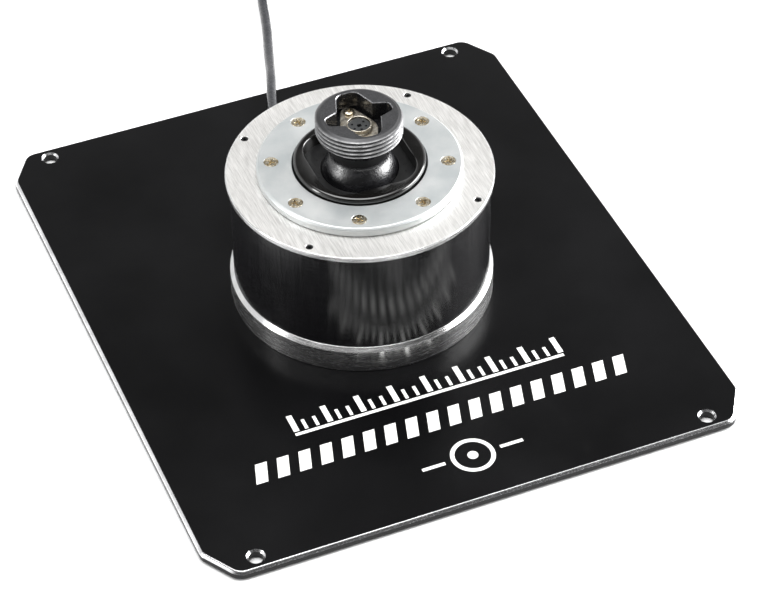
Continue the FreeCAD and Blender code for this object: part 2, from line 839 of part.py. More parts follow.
lead_route = [
    (0.0, 77.2, 10.3), (0.0, 88.0, 10.3), (0.9, 101.0, 8.0), (3.8, 114.5, 6.7),
    (7.8, 128.5, 6.75), (12.9, 142.0, 6.7), (17.0, 154.5, 3.6), (21.0, 167.0, 2.4),
    (25.2, 179.5, 2.35), (28.9, 192.0, 2.35), (31.9, 204.0, 2.35), (35.0, 213.5, 2.45),
    (36.9, 222.0, 2.6),
]
tail_route = [
    (66.0, 267.3, 14.3), (80.0, 267.2, 12.6), (93.5, 262.0, 8.0), (102.6, 253.0, 4.8),
    (106.5, 243.5, 3.8), (106.5, 233.0, 3.8),
]


def as_vectors(points):
    return [Vector(*p) for p in points]


def usb_cable():
    pieces = []
    for points in (lead_route, tail_route):
        body, radii, length = tube_along(as_vectors(points), cable_r)
        section = math.pi * cable_r ** 2
        print("lead bends", [round(r, 1) for r in radii], "length", round(length, 1),
              "volume over section x length", round(body.Volume / (section * length), 4))
        pieces.append(body)
    return Part.makeCompound(pieces)


def usb_coil():
    inner = coil_mean_r - coil_band / 2
    body = ring(coil_mean_r + coil_band / 2, inner, coil_lift, coil_lift + coil_height)
    body = body.makeFillet(3.5, edges_at(body, coil_lift - 0.01, coil_lift + coil_height + 0.01, inner - 1))
    return placed(body, Vector(*coil_centre, 0))


def coil_tie():
    """Strap once round the coil's bundle, at its +X side."""
    outer = coil_mean_r + coil_band / 2
    inner = coil_mean_r - coil_band / 2
    top = coil_lift + coil_height
    body = ring(outer + tie_thick, inner - tie_thick, coil_lift - tie_thick, top + tie_thick)
    body = body.cut(ring(outer, inner, coil_lift, top))
    body = body.common(block((0, outer + 1), (-tie_width / 2, tie_width / 2), (0, top + 1)))
    return placed(body, Vector(*coil_centre, 0))


def plug_level():
    return plug_thick / 2


def usb_plug_housing():
    x, y = plug_entry
    half = plug_width / 2
    body = block((x - half, x + half), (y - plug_length, y), (0, plug_thick))
    body = body.makeFillet(1.6, body.Edges)
    return body.cut(plug_shell_solid())


def plug_shell_solid():
    x, y = plug_entry
    wide, tall, length = plug_shell
    low = plug_level() - tall / 2
    return block((x - wide / 2, x + wide / 2), (y - plug_length - length + 6, y - plug_length + 6),
                 (low, low + tall))


def usb_plug_shell():
    x, y = plug_entry
    wide, tall, length = plug_shell
    low = plug_level() - tall / 2
    mouth = y - plug_length - length + 6
    hollow = block((x - wide / 2 + 0.4, x + wide / 2 - 0.4), (mouth - 1, mouth + 11),
                   (low + 2.2, low + tall - 0.4))
    slots = [block((x + s - 1.2, x + s + 1.2), (mouth + 4.5, mouth + 7), (low + tall - 1, low + tall + 1))
             for s in (-3, 3)]
    return without(plug_shell_solid(), [hollow] + slots)


# ---- write one file per piece -----------------------------------------------------------------

pieces = [mounting_plate, plate_pads, plate_screws, base_disc, tube_screws, housing_tube, top_ring,
          ring_screws, retaining_ring, retaining_screws, gate_bezel, upper_seat, ball_socket,
          guide_bail, pivot_ball, threaded_neck, shaft, spring_disc, disc_nut, magnet_holder, magnet,
          connector_flange, connector_shell, connector_insert, connector_screws, spring_seat,
          seat_screws, main_spring, side_springs, sensor_board, hall_sensor, sensor_screws,
          sensor_ribbon, board_bracket, bracket_screws, controller_board, controller_chips,
          board_headers, inner_cable, connector_lead, strain_relief, usb_cable, usb_coil, coil_tie,
          usb_plug_housing, usb_plug_shell]

os.makedirs("parts", exist_ok=True)
for piece in pieces:
    shape = piece()
    if not shape.isValid():
        raise RuntimeError(piece.__name__ + " is not a valid shape")
    shape.exportStep("parts/" + piece.__name__ + ".step")
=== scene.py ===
import json
import math
import random

import bmesh
import bpy
from mathutils import Matrix, Vector


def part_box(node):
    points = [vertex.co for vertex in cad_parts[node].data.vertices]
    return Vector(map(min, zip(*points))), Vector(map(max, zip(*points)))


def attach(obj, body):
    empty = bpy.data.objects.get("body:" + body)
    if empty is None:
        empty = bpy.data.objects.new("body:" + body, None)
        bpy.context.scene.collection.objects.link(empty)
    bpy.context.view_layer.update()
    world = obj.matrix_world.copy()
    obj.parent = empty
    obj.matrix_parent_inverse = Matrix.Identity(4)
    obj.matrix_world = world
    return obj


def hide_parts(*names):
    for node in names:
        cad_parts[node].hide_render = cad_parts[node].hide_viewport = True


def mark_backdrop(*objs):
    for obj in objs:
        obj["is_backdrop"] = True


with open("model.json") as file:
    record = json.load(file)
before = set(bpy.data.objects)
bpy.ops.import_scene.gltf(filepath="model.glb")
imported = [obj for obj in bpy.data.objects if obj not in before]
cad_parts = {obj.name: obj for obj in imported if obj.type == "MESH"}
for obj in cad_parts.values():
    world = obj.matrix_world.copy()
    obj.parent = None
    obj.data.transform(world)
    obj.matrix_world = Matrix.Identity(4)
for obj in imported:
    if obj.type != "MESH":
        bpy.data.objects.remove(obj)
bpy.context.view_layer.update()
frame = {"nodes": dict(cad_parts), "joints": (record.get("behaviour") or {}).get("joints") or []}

# Looks of a flight joystick's base: the plate, the round housing, the threaded neck and the lead.
# Everything is in metres, in the frame's own axes. mm turns the sizes below into metres.

mm = 0.001
random.seed(7)

# ---- places taken from the frame ---------------------------------------------------------

plate_low, plate_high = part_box("mounting_plate")
PLATE_TOP = plate_high.z
FOOT_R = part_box("base_disc")[1].x
TUBE_LOW, TUBE_HIGH = (corner.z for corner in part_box("housing_tube"))
TUBE_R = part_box("housing_tube")[1].x
TOP_RING_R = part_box("top_ring")[1].x
RING_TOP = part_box("top_ring")[1].z
RETAIN_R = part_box("retaining_ring")[1].x
RETAIN_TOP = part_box("retaining_ring")[1].z
LIP_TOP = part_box("gate_bezel")[1].z
NECK_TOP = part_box("threaded_neck")[1].z
NECK_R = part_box("threaded_neck")[1].x
PIVOT = Vector(frame["joints"][0]["pos_m"])
BALL_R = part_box("pivot_ball")[1].x
FLANGE_LOW, FLANGE_HIGH = (corner.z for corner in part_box("connector_flange"))
BARREL_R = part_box("connector_shell")[1].x
BARREL_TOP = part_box("connector_shell")[1].z

# ---- mesh helpers --------------------------------------------------------------------------


def rounded(corners, steps=5):
    """Closed outline through (x, y, radius) corners, each rounded by its own radius."""
    outline = []
    count = len(corners)
    for k, (x, y, radius) in enumerate(corners):
        here = Vector((x, y))
        if radius <= 0:
            outline.append(here)
            continue
        back = (Vector(corners[k - 1][:2]) - here).normalized()
        ahead = (Vector(corners[(k + 1) % count][:2]) - here).normalized()
        half = back.angle(ahead) / 2
        reach = radius / math.tan(half)
        centre = here + (back + ahead).normalized() * (radius / math.sin(half))
        start = here + back * reach - centre
        end = here + ahead * reach - centre
        turn = start.angle_signed(end)
        for s in range(steps + 1):
            a = -turn * s / steps
            outline.append(centre + Vector((start.x * math.cos(a) - start.y * math.sin(a),
                                            start.x * math.sin(a) + start.y * math.cos(a))))
    return outline


def with_supports(outline, width):
    """Extra points close to both ends of every long straight stretch, which keep flats flat."""
    result = []
    for here, ahead in zip(outline, outline[1:] + outline[:1]):
        result.append(here)
        way = ahead - here
        if way.length > 6 * width:
            result.append(here + way.normalized() * width)
            result.append(ahead - way.normalized() * width)
    return result


def finish_mesh(name, bm, sharp=35):
    bmesh.ops.remove_doubles(bm, verts=bm.verts, dist=1e-7)
    bmesh.ops.recalc_face_normals(bm, faces=bm.faces)
    mesh = bpy.data.meshes.new(name)
    bm.to_mesh(mesh)
    bm.free()
    smooth(mesh, sharp)
    piece = bpy.data.objects.new(name, mesh)
    bpy.context.scene.collection.objects.link(piece)
    return piece


def smooth(mesh, sharp=35):
    for face in mesh.polygons:
        face.use_smooth = True
    mesh.set_sharp_from_angle(angle=math.radians(sharp))


def loft(name, loops, closed=False, caps=True, sharp=35):
    """Skin over loops of points that all have as many points."""
    bm = bmesh.new()
    rows = [[bm.verts.new(p) for p in loop] for loop in loops]
    pairs = list(zip(rows, rows[1:]))
    if closed:
        pairs.append((rows[-1], rows[0]))
    for low, high in pairs:
        for k in range(len(low)):
            n = (k + 1) % len(low)
            bm.faces.new((low[k], low[n], high[n], high[k]))
    if caps and not closed:
        bm.faces.new(list(reversed(rows[0])))
        bm.faces.new(rows[-1])
    return finish_mesh(name, bm, sharp)


def circle(radius, z, steps):
    return [Vector((radius * math.cos(2 * math.pi * k / steps),
                    radius * math.sin(2 * math.pi * k / steps), z)) for k in range(steps)]


def lathe(name, corners, steps=192, support=0.06 * mm, round_steps=5):
    """Ring turned about Z from a closed outline of (radius, height, rounding) corners."""
    outline = with_supports(rounded(corners, round_steps), support)
    return loft(name, [circle(p.x, p.y, steps) for p in outline], closed=True)


def plug_shape(name, corners, steps=48):
    """Solid turned about Z from an open outline of (radius, height), closed on the axis."""
    return loft(name, [circle(max(r, 1e-5), z, steps) for r, z in corners])


def grown(outline, offset):
    """Outline moved outwards by offset, point by point."""
    result = []
    for before, here, after in zip(outline[-1:] + outline[:-1], outline, outline[1:] + outline[:1]):
        way = after - before
        result.append(here + Vector((way.y, -way.x)).normalized() * offset)
    return result


def prism(name, outline, levels, sharp=35):
    """Solid over a counter-clockwise outline, grown by the offset given at each (height, offset)."""
    loops = [[Vector((p.x, p.y, z)) for p in grown(outline, offset)] for z, offset in levels]
    return loft(name, loops, sharp=sharp)


def moved(piece, where=(0, 0, 0), turn=0.0, axis="Z"):
    piece.data.transform(Matrix.Translation(where) @ Matrix.Rotation(turn, 4, axis))
    return piece


def carve(piece, cutters, sharp=35, solver="EXACT"):
    for cutter in cutters:
        modifier = piece.modifiers.new("cut", "BOOLEAN")
        modifier.operation = "DIFFERENCE"
        modifier.solver = solver
        modifier.object = cutter
    depsgraph = bpy.context.evaluated_depsgraph_get()
    mesh = bpy.data.meshes.new_from_object(piece.evaluated_get(depsgraph))
    piece.modifiers.clear()
    piece.data = mesh
    smooth(mesh, sharp)
    for cutter in cutters:
        bpy.data.objects.remove(cutter)
    return piece


def joined(name, parts):
    """One piece from several, each part's materials kept."""
    bm = bmesh.new()
    materials = []
    for part in parts:
        offset = {}
        for k, material in enumerate(part.data.materials):
            if material not in materials:
                materials.append(material)
            offset[k] = materials.index(material)
        before = len(bm.faces)
        bm.from_mesh(part.data)
        bm.faces.ensure_lookup_table()
        for face in bm.faces[before:]:
            face.material_index = offset.get(face.material_index, 0)
        bpy.data.objects.remove(part)
    mesh = bpy.data.meshes.new(name)
    bm.to_mesh(mesh)
    bm.free()
    for material in materials:
        mesh.materials.append(material)
    piece = bpy.data.objects.new(name, mesh)
    bpy.context.scene.collection.objects.link(piece)
    return piece


def copies(piece, places):
    """Copies of a piece at (position, turn about Z) places. The first stands for the original."""
    result = []
    for where, turn in places:
        copy = piece.copy()
        copy.data = piece.data.copy()
        bpy.context.scene.collection.objects.link(copy)
        result.append(moved(copy, where, turn))
    bpy.data.objects.remove(piece)
    return result


def polar(radius, degrees, z=0.0):
    a = math.radians(degrees)
    return Vector((radius * math.cos(a), radius * math.sin(a), z))


def settle(piece, body, node, slot, *materials):
    """Materials, body and the CAD node that the piece stands for. The record slot argument is not used.
    """
    if materials:
        piece.data.materials.clear()
        for material in materials:
            piece.data.materials.append(material)
    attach(piece, body)
    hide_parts(node)
    return piece


def paint_faces(piece, index, chosen):
    for face in piece.data.polygons:
        if chosen(face.center, face.normal):
            face.material_index = index


# ---- materials -----------------------------------------------------------------------------

class Shader:
    """A principled material and the few node chains that the looks share."""

    def __init__(self, name, colour, roughness, metallic=0.0, **sockets):
        self.material = bpy.data.materials.new(name)
        self.material.use_nodes = True
        self.tree = self.material.node_tree
        self.surface = self.tree.nodes["Principled BSDF"]
        self.surface.inputs["Base Color"].default_value = (*colour, 1)
        self.surface.inputs["Roughness"].default_value = roughness
        self.surface.inputs["Metallic"].default_value = metallic
        for socket, value in sockets.items():
            self.surface.inputs[socket.replace("_", " ")].default_value = value
        self.material.diffuse_color = (*colour, 1)
        self.height = None

    def add(self, kind, **values):
        node = self.tree.nodes.new(kind)
        for key, value in values.items():
            if key in node.inputs:
                node.inputs[key].default_value = value
            else:
                setattr(node, key, value)
        return node

    def link(self, source, target):
        self.tree.links.new(source, target)

    def place(self, scale=(1, 1, 1), turn=(0, 0, 0)):
        """Object coordinates, stretched and turned."""
        coordinate = self.add("ShaderNodeTexCoord")
        mapping = self.add("ShaderNodeMapping", Scale=scale, Rotation=turn)
        self.link(coordinate.outputs["Object"], mapping.inputs["Vector"])
        return mapping.outputs["Vector"]

    def noise(self, scale, detail=4.0, rough=0.6, stretch=(1, 1, 1), turn=(0, 0, 0)):
        node = self.add("ShaderNodeTexNoise", Scale=scale, Detail=detail, Roughness=rough)
        self.link(self.place(stretch, turn), node.inputs["Vector"])
        return node.outputs["Fac"]

    def ramp(self, source, low, high, out_low=0.0, out_high=1.0):
        node = self.add("ShaderNodeMapRange")
        node.inputs["From Min"].default_value = low
        node.inputs["From Max"].default_value = high
        node.inputs["To Min"].default_value = out_low
        node.inputs["To Max"].default_value = out_high
        self.link(source, node.inputs["Value"])
        return node.outputs["Result"]

    def math(self, operation, first, second):
        node = self.add("ShaderNodeMath", operation=operation)
        for socket, value in zip(node.inputs, (first, second)):
            if isinstance(value, (int, float)):
                socket.default_value = value
            else:
                self.link(value, socket)
        return node.outputs["Value"]

    def mix(self, factor, first, second):
        node = self.add("ShaderNodeMix", data_type="RGBA")
        colour_a, colour_b = [s for s in node.inputs if s.type == "RGBA"][:2]
        if isinstance(factor, (int, float)):
            node.inputs[0].default_value = factor
        else:
            self.link(factor, node.inputs[0])
        for socket, value in ((colour_a, first), (colour_b, second)):
            if isinstance(value, tuple):
                socket.default_value = (*value, 1)
            else:
                self.link(value, socket)
        return [s for s in node.outputs if s.type == "RGBA"][0]

    def colour(self, source):
        self.link(source, self.surface.inputs["Base Color"])

    def roughness(self, source):
        self.link(source, self.surface.inputs["Roughness"])

    def bump(self, source, depth, strength=1.0):
        node = self.add("ShaderNodeBump", Strength=strength, Distance=depth)
        self.link(source, node.inputs["Height"])
        if self.height:
            self.link(self.height, node.inputs["Normal"])
        self.height = node.outputs["Normal"]
        self.link(self.height, self.surface.inputs["Normal"])

    def turned(self, amount):
        """Fine lines round the Z axis, which draw reflections out along it."""
        self.surface.inputs["Anisotropic"].default_value = amount
        self.surface.inputs["Anisotropic Rotation"].default_value = 0.25
        tangent = self.add("ShaderNodeTangent", direction_type="RADIAL", axis="Z")
        self.link(tangent.outputs["Tangent"], self.surface.inputs["Tangent"])

    def radius(self):
        """Distance of the shaded point from the Z axis."""
        parts = self.add("ShaderNodeSeparateXYZ")
        self.link(self.place(), parts.inputs["Vector"])
        square = self.math("ADD", self.math("POWER", parts.outputs["X"], 2.0),
                           self.math("POWER", parts.outputs["Y"], 2.0))
        return self.math("SQRT", square, 0.0)


def plate_coat():
    s = Shader("satin black coat", (0.002, 0.002, 0.0023), 0.26, Specular_IOR_Level=0.24)
    cloud = s.noise(14, 5, 0.55)
    scuff = s.noise(30, 6, 0.75, (1, 0.25, 1), (0, 0, 0.5))
    s.roughness(s.math("ADD", s.ramp(cloud, 0.3, 0.7, 0.21, 0.27), s.ramp(scuff, 0.62, 0.8, 0, 0.05)))
    s.colour(s.mix(s.ramp(cloud, 0.35, 0.7), (0.0016, 0.0016, 0.0018), (0.003, 0.003, 0.0034)))
    s.bump(s.noise(2600, 3), 0.000012, 0.35)
    return s.material


def bare_edge():
    s = Shader("bright machined edge", (0.80, 0.80, 0.81), 0.22, 1.0)
    lines = s.noise(1500, 3, 0.6, (1, 1, 6))
    s.roughness(s.ramp(lines, 0.3, 0.7, 0.16, 0.3))
    s.colour(s.mix(s.ramp(s.noise(120, 5), 0.35, 0.65), (0.62, 0.62, 0.63), (0.86, 0.86, 0.87)))
    s.bump(lines, 0.00001, 0.3)
    return s.material


def anodised():
    """Turned tube: its lines draw what it mirrors into upright streaks."""
    s = Shader("gloss black anodised", (0.004, 0.004, 0.0044), 0.2, Specular_IOR_Level=0.85)
    s.turned(0.6)
    streaks = s.noise(700, 4, 0.6, (1, 1, 0.05))
    lines = s.noise(2200, 3, 0.6, (0.04, 0.04, 1))
    s.roughness(s.math("ADD", s.ramp(streaks, 0.3, 0.75, 0.14, 0.22), s.ramp(lines, 0.4, 0.7, 0, 0.05)))
    s.bump(streaks, 0.000004, 0.3)
    s.bump(lines, 0.000006, 0.4)
    s.colour(s.mix(s.ramp(lines, 0.4, 0.75), (0.003, 0.003, 0.0035), (0.008, 0.008, 0.009)))
    return s.material


def brushed_top():
    """Off-white aluminium with fine scratches that cross in two directions."""
    s = Shader("cross-brushed aluminium", (0.82, 0.81, 0.79), 0.42, 1.0)
    one_way = s.noise(3800, 4, 0.7, (1, 0.03, 1), (0, 0, 0.75))
    other_way = s.noise(3400, 4, 0.7, (1, 0.035, 1), (0, 0, -0.95))
    hatch = s.math("ADD", s.math("MULTIPLY", one_way, 0.6), s.math("MULTIPLY", other_way, 0.4))
    s.colour(s.mix(s.ramp(hatch, 0.57, 0.42), (0.90, 0.89, 0.87), (0.66, 0.65, 0.63)))
    s.roughness(s.ramp(hatch, 0.35, 0.65, 0.36, 0.50))
    s.bump(hatch, 0.00004, 0.7)
    return s.material


def satin_ring():
    s = Shader("satin aluminium", (0.58, 0.60, 0.60), 0.45, 1.0)
    grain = s.noise(1800, 4, 0.65)
    cloud = s.noise(55, 5, 0.65)
    s.colour(s.mix(s.ramp(cloud, 0.35, 0.68), (0.53, 0.56, 0.565), (0.64, 0.65, 0.645)))
    s.roughness(s.math("ADD", s.ramp(grain, 0.3, 0.7, 0.40, 0.50), s.ramp(cloud, 0.4, 0.7, 0, 0.05)))
    s.bump(grain, 0.000012, 0.3)
    return s.material


def polished():
    s = Shader("polished aluminium", (0.70, 0.70, 0.70), 0.2, 1.0)
    s.turned(0.75)
    rings = s.noise(2400, 3, 0.6, (0.05, 0.05, 1))
    s.roughness(s.ramp(rings, 0.3, 0.7, 0.20, 0.30))
    s.colour(s.mix(s.ramp(s.noise(160, 4), 0.35, 0.7), (0.62, 0.62, 0.62), (0.76, 0.76, 0.76)))
    s.bump(rings, 0.000006, 0.3)
    return s.material


def gloss_black():
    s = Shader("gloss black plastic", (0.004, 0.0037, 0.0034), 0.1, Specular_IOR_Level=0.85)
    cloud = s.noise(90, 5, 0.65)
    s.roughness(s.ramp(cloud, 0.35, 0.7, 0.08, 0.18))
    s.bump(s.noise(900, 3), 0.000008, 0.2)
    return s.material


def greased_ball():
    """Black ball with a mottled film of grease."""
    s = Shader("greased black ball", (0.006, 0.006, 0.007), 0.34, Specular_IOR_Level=1.0,
               Coat_Weight=0.4, Coat_Roughness=0.22)
    smear = s.noise(110, 7, 0.75, (1, 1, 2.2), (0.4, 0.2, 0))
    grain = s.noise(900, 4, 0.7)
    s.roughness(s.math("ADD", s.ramp(smear, 0.3, 0.7, 0.16, 0.30), s.ramp(grain, 0.3, 0.7, 0, 0.06)))
    s.colour(s.mix(s.ramp(smear, 0.45, 0.75), (0.006, 0.006, 0.007), (0.025, 0.025, 0.029)))
    s.bump(grain, 0.0003, 0.6)
    s.bump(smear, 0.0003, 0.4)
    return s.material


def neck_metal():
    """Dark cut thread whose crests are lighter: partly wear, partly a painted highlight, with painted
    shade in the roots.
    """
    s = Shader("dark thread", (0.1, 0.1, 0.105), 0.36, 1.0)
    lines = s.noise(1400, 4, 0.6, (0.1, 0.1, 1))
    # Crests lighter than roots: partly wear, partly a painted highlight on the crests and painted shade
    # in the roots.
    crest = s.ramp(s.radius(), NECK_R - 0.9 * mm, NECK_R)
    crest_wear_and_highlight = s.math("MULTIPLY", crest, s.ramp(s.noise(420, 5, 0.7), 0.3, 0.62, 0.35, 1.0))
    s.colour(s.mix(crest_wear_and_highlight, (0.07, 0.07, 0.072), (0.36, 0.36, 0.365)))
    s.roughness(s.ramp(lines, 0.3, 0.7, 0.36, 0.52))
    s.bump(lines, 0.00001, 0.3)
    return s.material


def neck_face():
    s = Shader("dark machined face", (0.03, 0.03, 0.034), 0.5, 0.3)
    grain = s.noise(1500, 5, 0.7)
    s.colour(s.mix(s.ramp(grain, 0.35, 0.7), (0.010, 0.010, 0.011), (0.042, 0.042, 0.045)))
    s.roughness(s.ramp(s.noise(300, 4), 0.3, 0.7, 0.42, 0.6))
    s.bump(grain, 0.00005, 0.6)
    return s.material


def recess_wall():
    s = Shader("dark recess wall", (0.012, 0.012, 0.014), 0.24, 0.2)
    s.colour(s.mix(s.ramp(s.noise(600, 4), 0.35, 0.7), (0.008, 0.008, 0.009), (0.018, 0.018, 0.02)))
    s.roughness(s.ramp(s.noise(700, 4), 0.3, 0.7, 0.16, 0.34))
    s.bump(s.noise(900, 4), 0.00003, 0.4)
    return s.material


def neck_rim_highlight():
    # Lighter metal for the broken edge of the recess mouth: a painted highlight.
    s = Shader("rim metal with painted highlight", (0.6, 0.6, 0.61), 0.3, 1.0)
    s.colour(s.mix(s.ramp(s.noise(500, 4), 0.3, 0.65), (0.16, 0.16, 0.17), (0.42, 0.42, 0.43)))
    s.roughness(s.ramp(s.noise(900, 3), 0.3, 0.7, 0.22, 0.4))
    return s.material


def champagne():
    s = Shader("champagne nickel", (0.80, 0.73, 0.61), 0.30, 1.0)
    stain = s.noise(420, 6, 0.7)
    s.colour(s.mix(s.ramp(stain, 0.36, 0.62), (0.42, 0.36, 0.27), (0.92, 0.87, 0.77)))
    s.roughness(s.ramp(s.noise(800, 4), 0.3, 0.7, 0.24, 0.44))
    s.bump(stain, 0.00003, 0.3)
    return s.material


def yellow_zinc():
    s = Shader("yellow passivated zinc", (0.74, 0.64, 0.42), 0.26, 1.0)
    tint = s.noise(700, 4, 0.6)
    s.colour(s.mix(s.ramp(tint, 0.35, 0.65), (0.42, 0.33, 0.19), (0.90, 0.84, 0.70)))
    s.roughness(s.ramp(s.noise(1500, 3), 0.3, 0.7, 0.18, 0.34))
    return s.material


def plain_metal(name, colour, rough=0.35):
    s = Shader(name, colour, rough, 1.0)
    dark = tuple(0.7 * c for c in colour)
    s.colour(s.mix(s.ramp(s.noise(300, 4), 0.3, 0.7), dark, colour))
    s.roughness(s.ramp(s.noise(1200, 3), 0.3, 0.7, rough - 0.08, rough + 0.08))
    s.bump(s.noise(2200, 3), 0.00001, 0.3)
    return s.material


def plain_plastic(name, colour, rough=0.5, grain=1500):
    s = Shader(name, colour, rough)
    dark = tuple(0.75 * c for c in colour)
    s.colour(s.mix(s.ramp(s.noise(200, 4), 0.3, 0.7), dark, colour))
    s.roughness(s.ramp(s.noise(500, 4), 0.3, 0.7, rough - 0.08, rough + 0.08))
    s.bump(s.noise(grain, 4), 0.00003, 0.35)
    return s.material


def cable_jacket():
    s = Shader("lead jacket", (0.030, 0.031, 0.034), 0.27, Specular_IOR_Level=0.6)
    cloud = s.noise(120, 4)
    s.colour(s.mix(s.ramp(cloud, 0.3, 0.7), (0.022, 0.023, 0.026), (0.042, 0.043, 0.047)))
    s.roughness(s.ramp(s.noise(600, 4), 0.3, 0.7, 0.2, 0.34))
    s.bump(s.noise(1600, 3), 0.00002, 0.25)
    return s.material


def white_print():
    s = Shader("white print", (0.82, 0.82, 0.80), 0.45)
    s.colour(s.mix(s.ramp(s.noise(900, 5, 0.7), 0.3, 0.6), (0.70, 0.70, 0.68), (0.86, 0.86, 0.84)))
    s.roughness(s.ramp(s.noise(300, 4), 0.3, 0.7, 0.38, 0.52))
    return s.material


def hook_tape():
    s = Shader("hook tape", (0.02, 0.02, 0.021), 0.8, Sheen_Weight=0.3)
    s.bump(s.noise(1800, 5, 0.8), 0.00015, 0.7)
    s.colour(s.mix(s.ramp(s.noise(1500, 4), 0.3, 0.7), (0.012, 0.012, 0.013), (0.05, 0.05, 0.052)))
    return s.material


def circuit_board():
    s = Shader("solder mask", (0.02, 0.13, 0.06), 0.3)
    tracks = s.noise(500, 2, 0.3, (1, 0.3, 1))
    s.colour(s.mix(s.ramp(tracks, 0.48, 0.52), (0.012, 0.10, 0.045), (0.03, 0.19, 0.085)))
    s.bump(tracks, 0.00003, 0.4)
    return s.material


# ---- plate -----------------------------------------------------------------------------------

CORNER_CUT = (10 * mm, 16 * mm)
CORNER_ROUND = 7 * mm
PLATE_BEVEL = 1.2 * mm
HOLE_PLACES = [(x * 97.75 * mm, y * 130.5 * mm) for x in (-1, 1) for y in (-1, 1)]


def plate_outline():
    x, y = plate_high.x, plate_high.y
    cx, cy = CORNER_CUT
    corners = [(x - cx, -y), (x, -y + cy), (x, y - cy), (x - cx, y),
               (-x + cx, y), (-x, y - cy), (-x, -y + cy), (-x + cx, -y)]
    return rounded([(px, py, CORNER_ROUND) for px, py in corners], 10)


def hole_cutter(radius, sink, low, top):
    """Through hole with a countersunk mouth at height top."""
    return plug_shape("cutter", [(radius, low), (radius, top - sink), (radius + sink, top),
                                 (radius + sink, top + sink)])


def mounting_plate():
    low, top = plate_low.z, PLATE_TOP
    tip = 0.25 * mm
    levels = [(low, -0.3 * mm), (low + 0.3 * mm, 0), (top - PLATE_BEVEL, 0)]
    levels += [(top - PLATE_BEVEL + tip * 0.4, -tip * 0.1), (top - tip * 0.4, -PLATE_BEVEL + tip * 0.3)]
    levels += [(top, -PLATE_BEVEL - 0.1 * mm), (top, -PLATE_BEVEL - 0.5 * mm)]
    piece = prism("mounting_plate_finished", plate_outline(), levels)
    cutters = [moved(hole_cutter(3 * mm, 0.8 * mm, low - mm, top), (x, y, 0)) for x, y in HOLE_PLACES]
    for angle in (67.5, 157.5, 247.5, 337.5):
        cutters.append(moved(plug_shape("cutter", [(5 * mm, low - mm), (5 * mm, low + 0.2 * mm),
                                                   (2.6 * mm, low + 2.7 * mm), (2.6 * mm, top + mm)]),
                             polar(50 * mm, angle)))
    carve(piece, cutters)
    settle(piece, "base", "mounting_plate", "plate", MATERIALS["coat"], MATERIALS["bare"])
    paint_faces(piece, 1, lambda c, n: 0.3 < n.z < 0.95 and c.z > top - PLATE_BEVEL - 0.1 * mm)
    return piece


def printed_marks():
    """Plain white scale marks on the front of the plate, where the maker's print would be."""
    ink = 0.03 * mm
    z = PLATE_TOP + ink
    bm = bmesh.new()

    def bar(x, y, width, height, slant=0.0):
        corners = [(x, y), (x + width, y), (x + width + slant, y + height), (x + slant, y + height)]
        bm.faces.new([bm.verts.new((cx * mm, cy * mm, z)) for cx, cy in corners])

    def ring(x, y, inner, outer, steps):
        angles = [math.radians(360 * k / steps) for k in range(steps + 1)]
        for a, b in zip(angles, angles[1:]):
            corners = [(outer, a), (outer, b), (inner, b), (inner, a)]
            bm.faces.new([bm.verts.new(((x + r * math.cos(t)) * mm, (y + r * math.sin(t)) * mm, z))
                          for r, t in corners])

    tick_pitch = 4.9
    for k in range(-12, 13):
        width, height = (2.4, 9.5) if k % 3 == 0 else (1.4, 5.5)
        bar(k * tick_pitch - 0.9, -73.5, width, height)
    bar(-59.7, -75.9, 119.4, 1.5)
    block_pitch = 9.3
    for k in range(18):
        bar(-84.0 + block_pitch * k, -95.0, 5.0, 10.5, 3.2)
    roundel = (1.5, -113.5)
    ring(*roundel, 7.4, 9.2, 64)
    ring(*roundel, 0.01, 2.2, 32)
    for x in (-20.5, 13.5):
        bar(x, -114.3, 10.0, 1.6)
    bmesh.ops.remove_doubles(bm, verts=bm.verts, dist=1e-7)
    bmesh.ops.solidify(bm, geom=bm.faces, thickness=ink)
    piece = finish_mesh("printed_marks", bm)
    piece.data.materials.append(MATERIALS["print"])
    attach(piece, "base")
    return piece


# ---- housing -----------------------------------------------------------------------------------

ROUND_STEPS = 256
SPIGOT_R = 49.1 * mm
FOOT_BORE_R = 44 * mm
FOOT_BEVEL = 1.6 * mm
FOOT_SPIGOT = 5.8 * mm
FOOT_FLOOR = 4 * mm
TUBE_WALL = 5 * mm
RING_SPIGOT = 6 * mm
RING_SCREW_CIRCLE = 52.2 * mm
DIAGONALS = (45, 135, 225, 315)
CARTRIDGE_BORE_R = 33.8 * mm
CARTRIDGE_SHELF_R = 30.8 * mm
RETAIN_BORE_R = 27.9 * mm
RETAIN_SCREW_CIRCLE = 36.5 * mm
RETAIN_SCREW_ANGLES = [22.5 + 45 * k for k in range(8)]
GATE_R = 27.4 * mm
GATE_FLANGE_R = 33.6 * mm
GATE_HALF = 20.6 * mm
GATE_CORNER = 12 * mm
SEAT_ROOM_R = 25.8 * mm


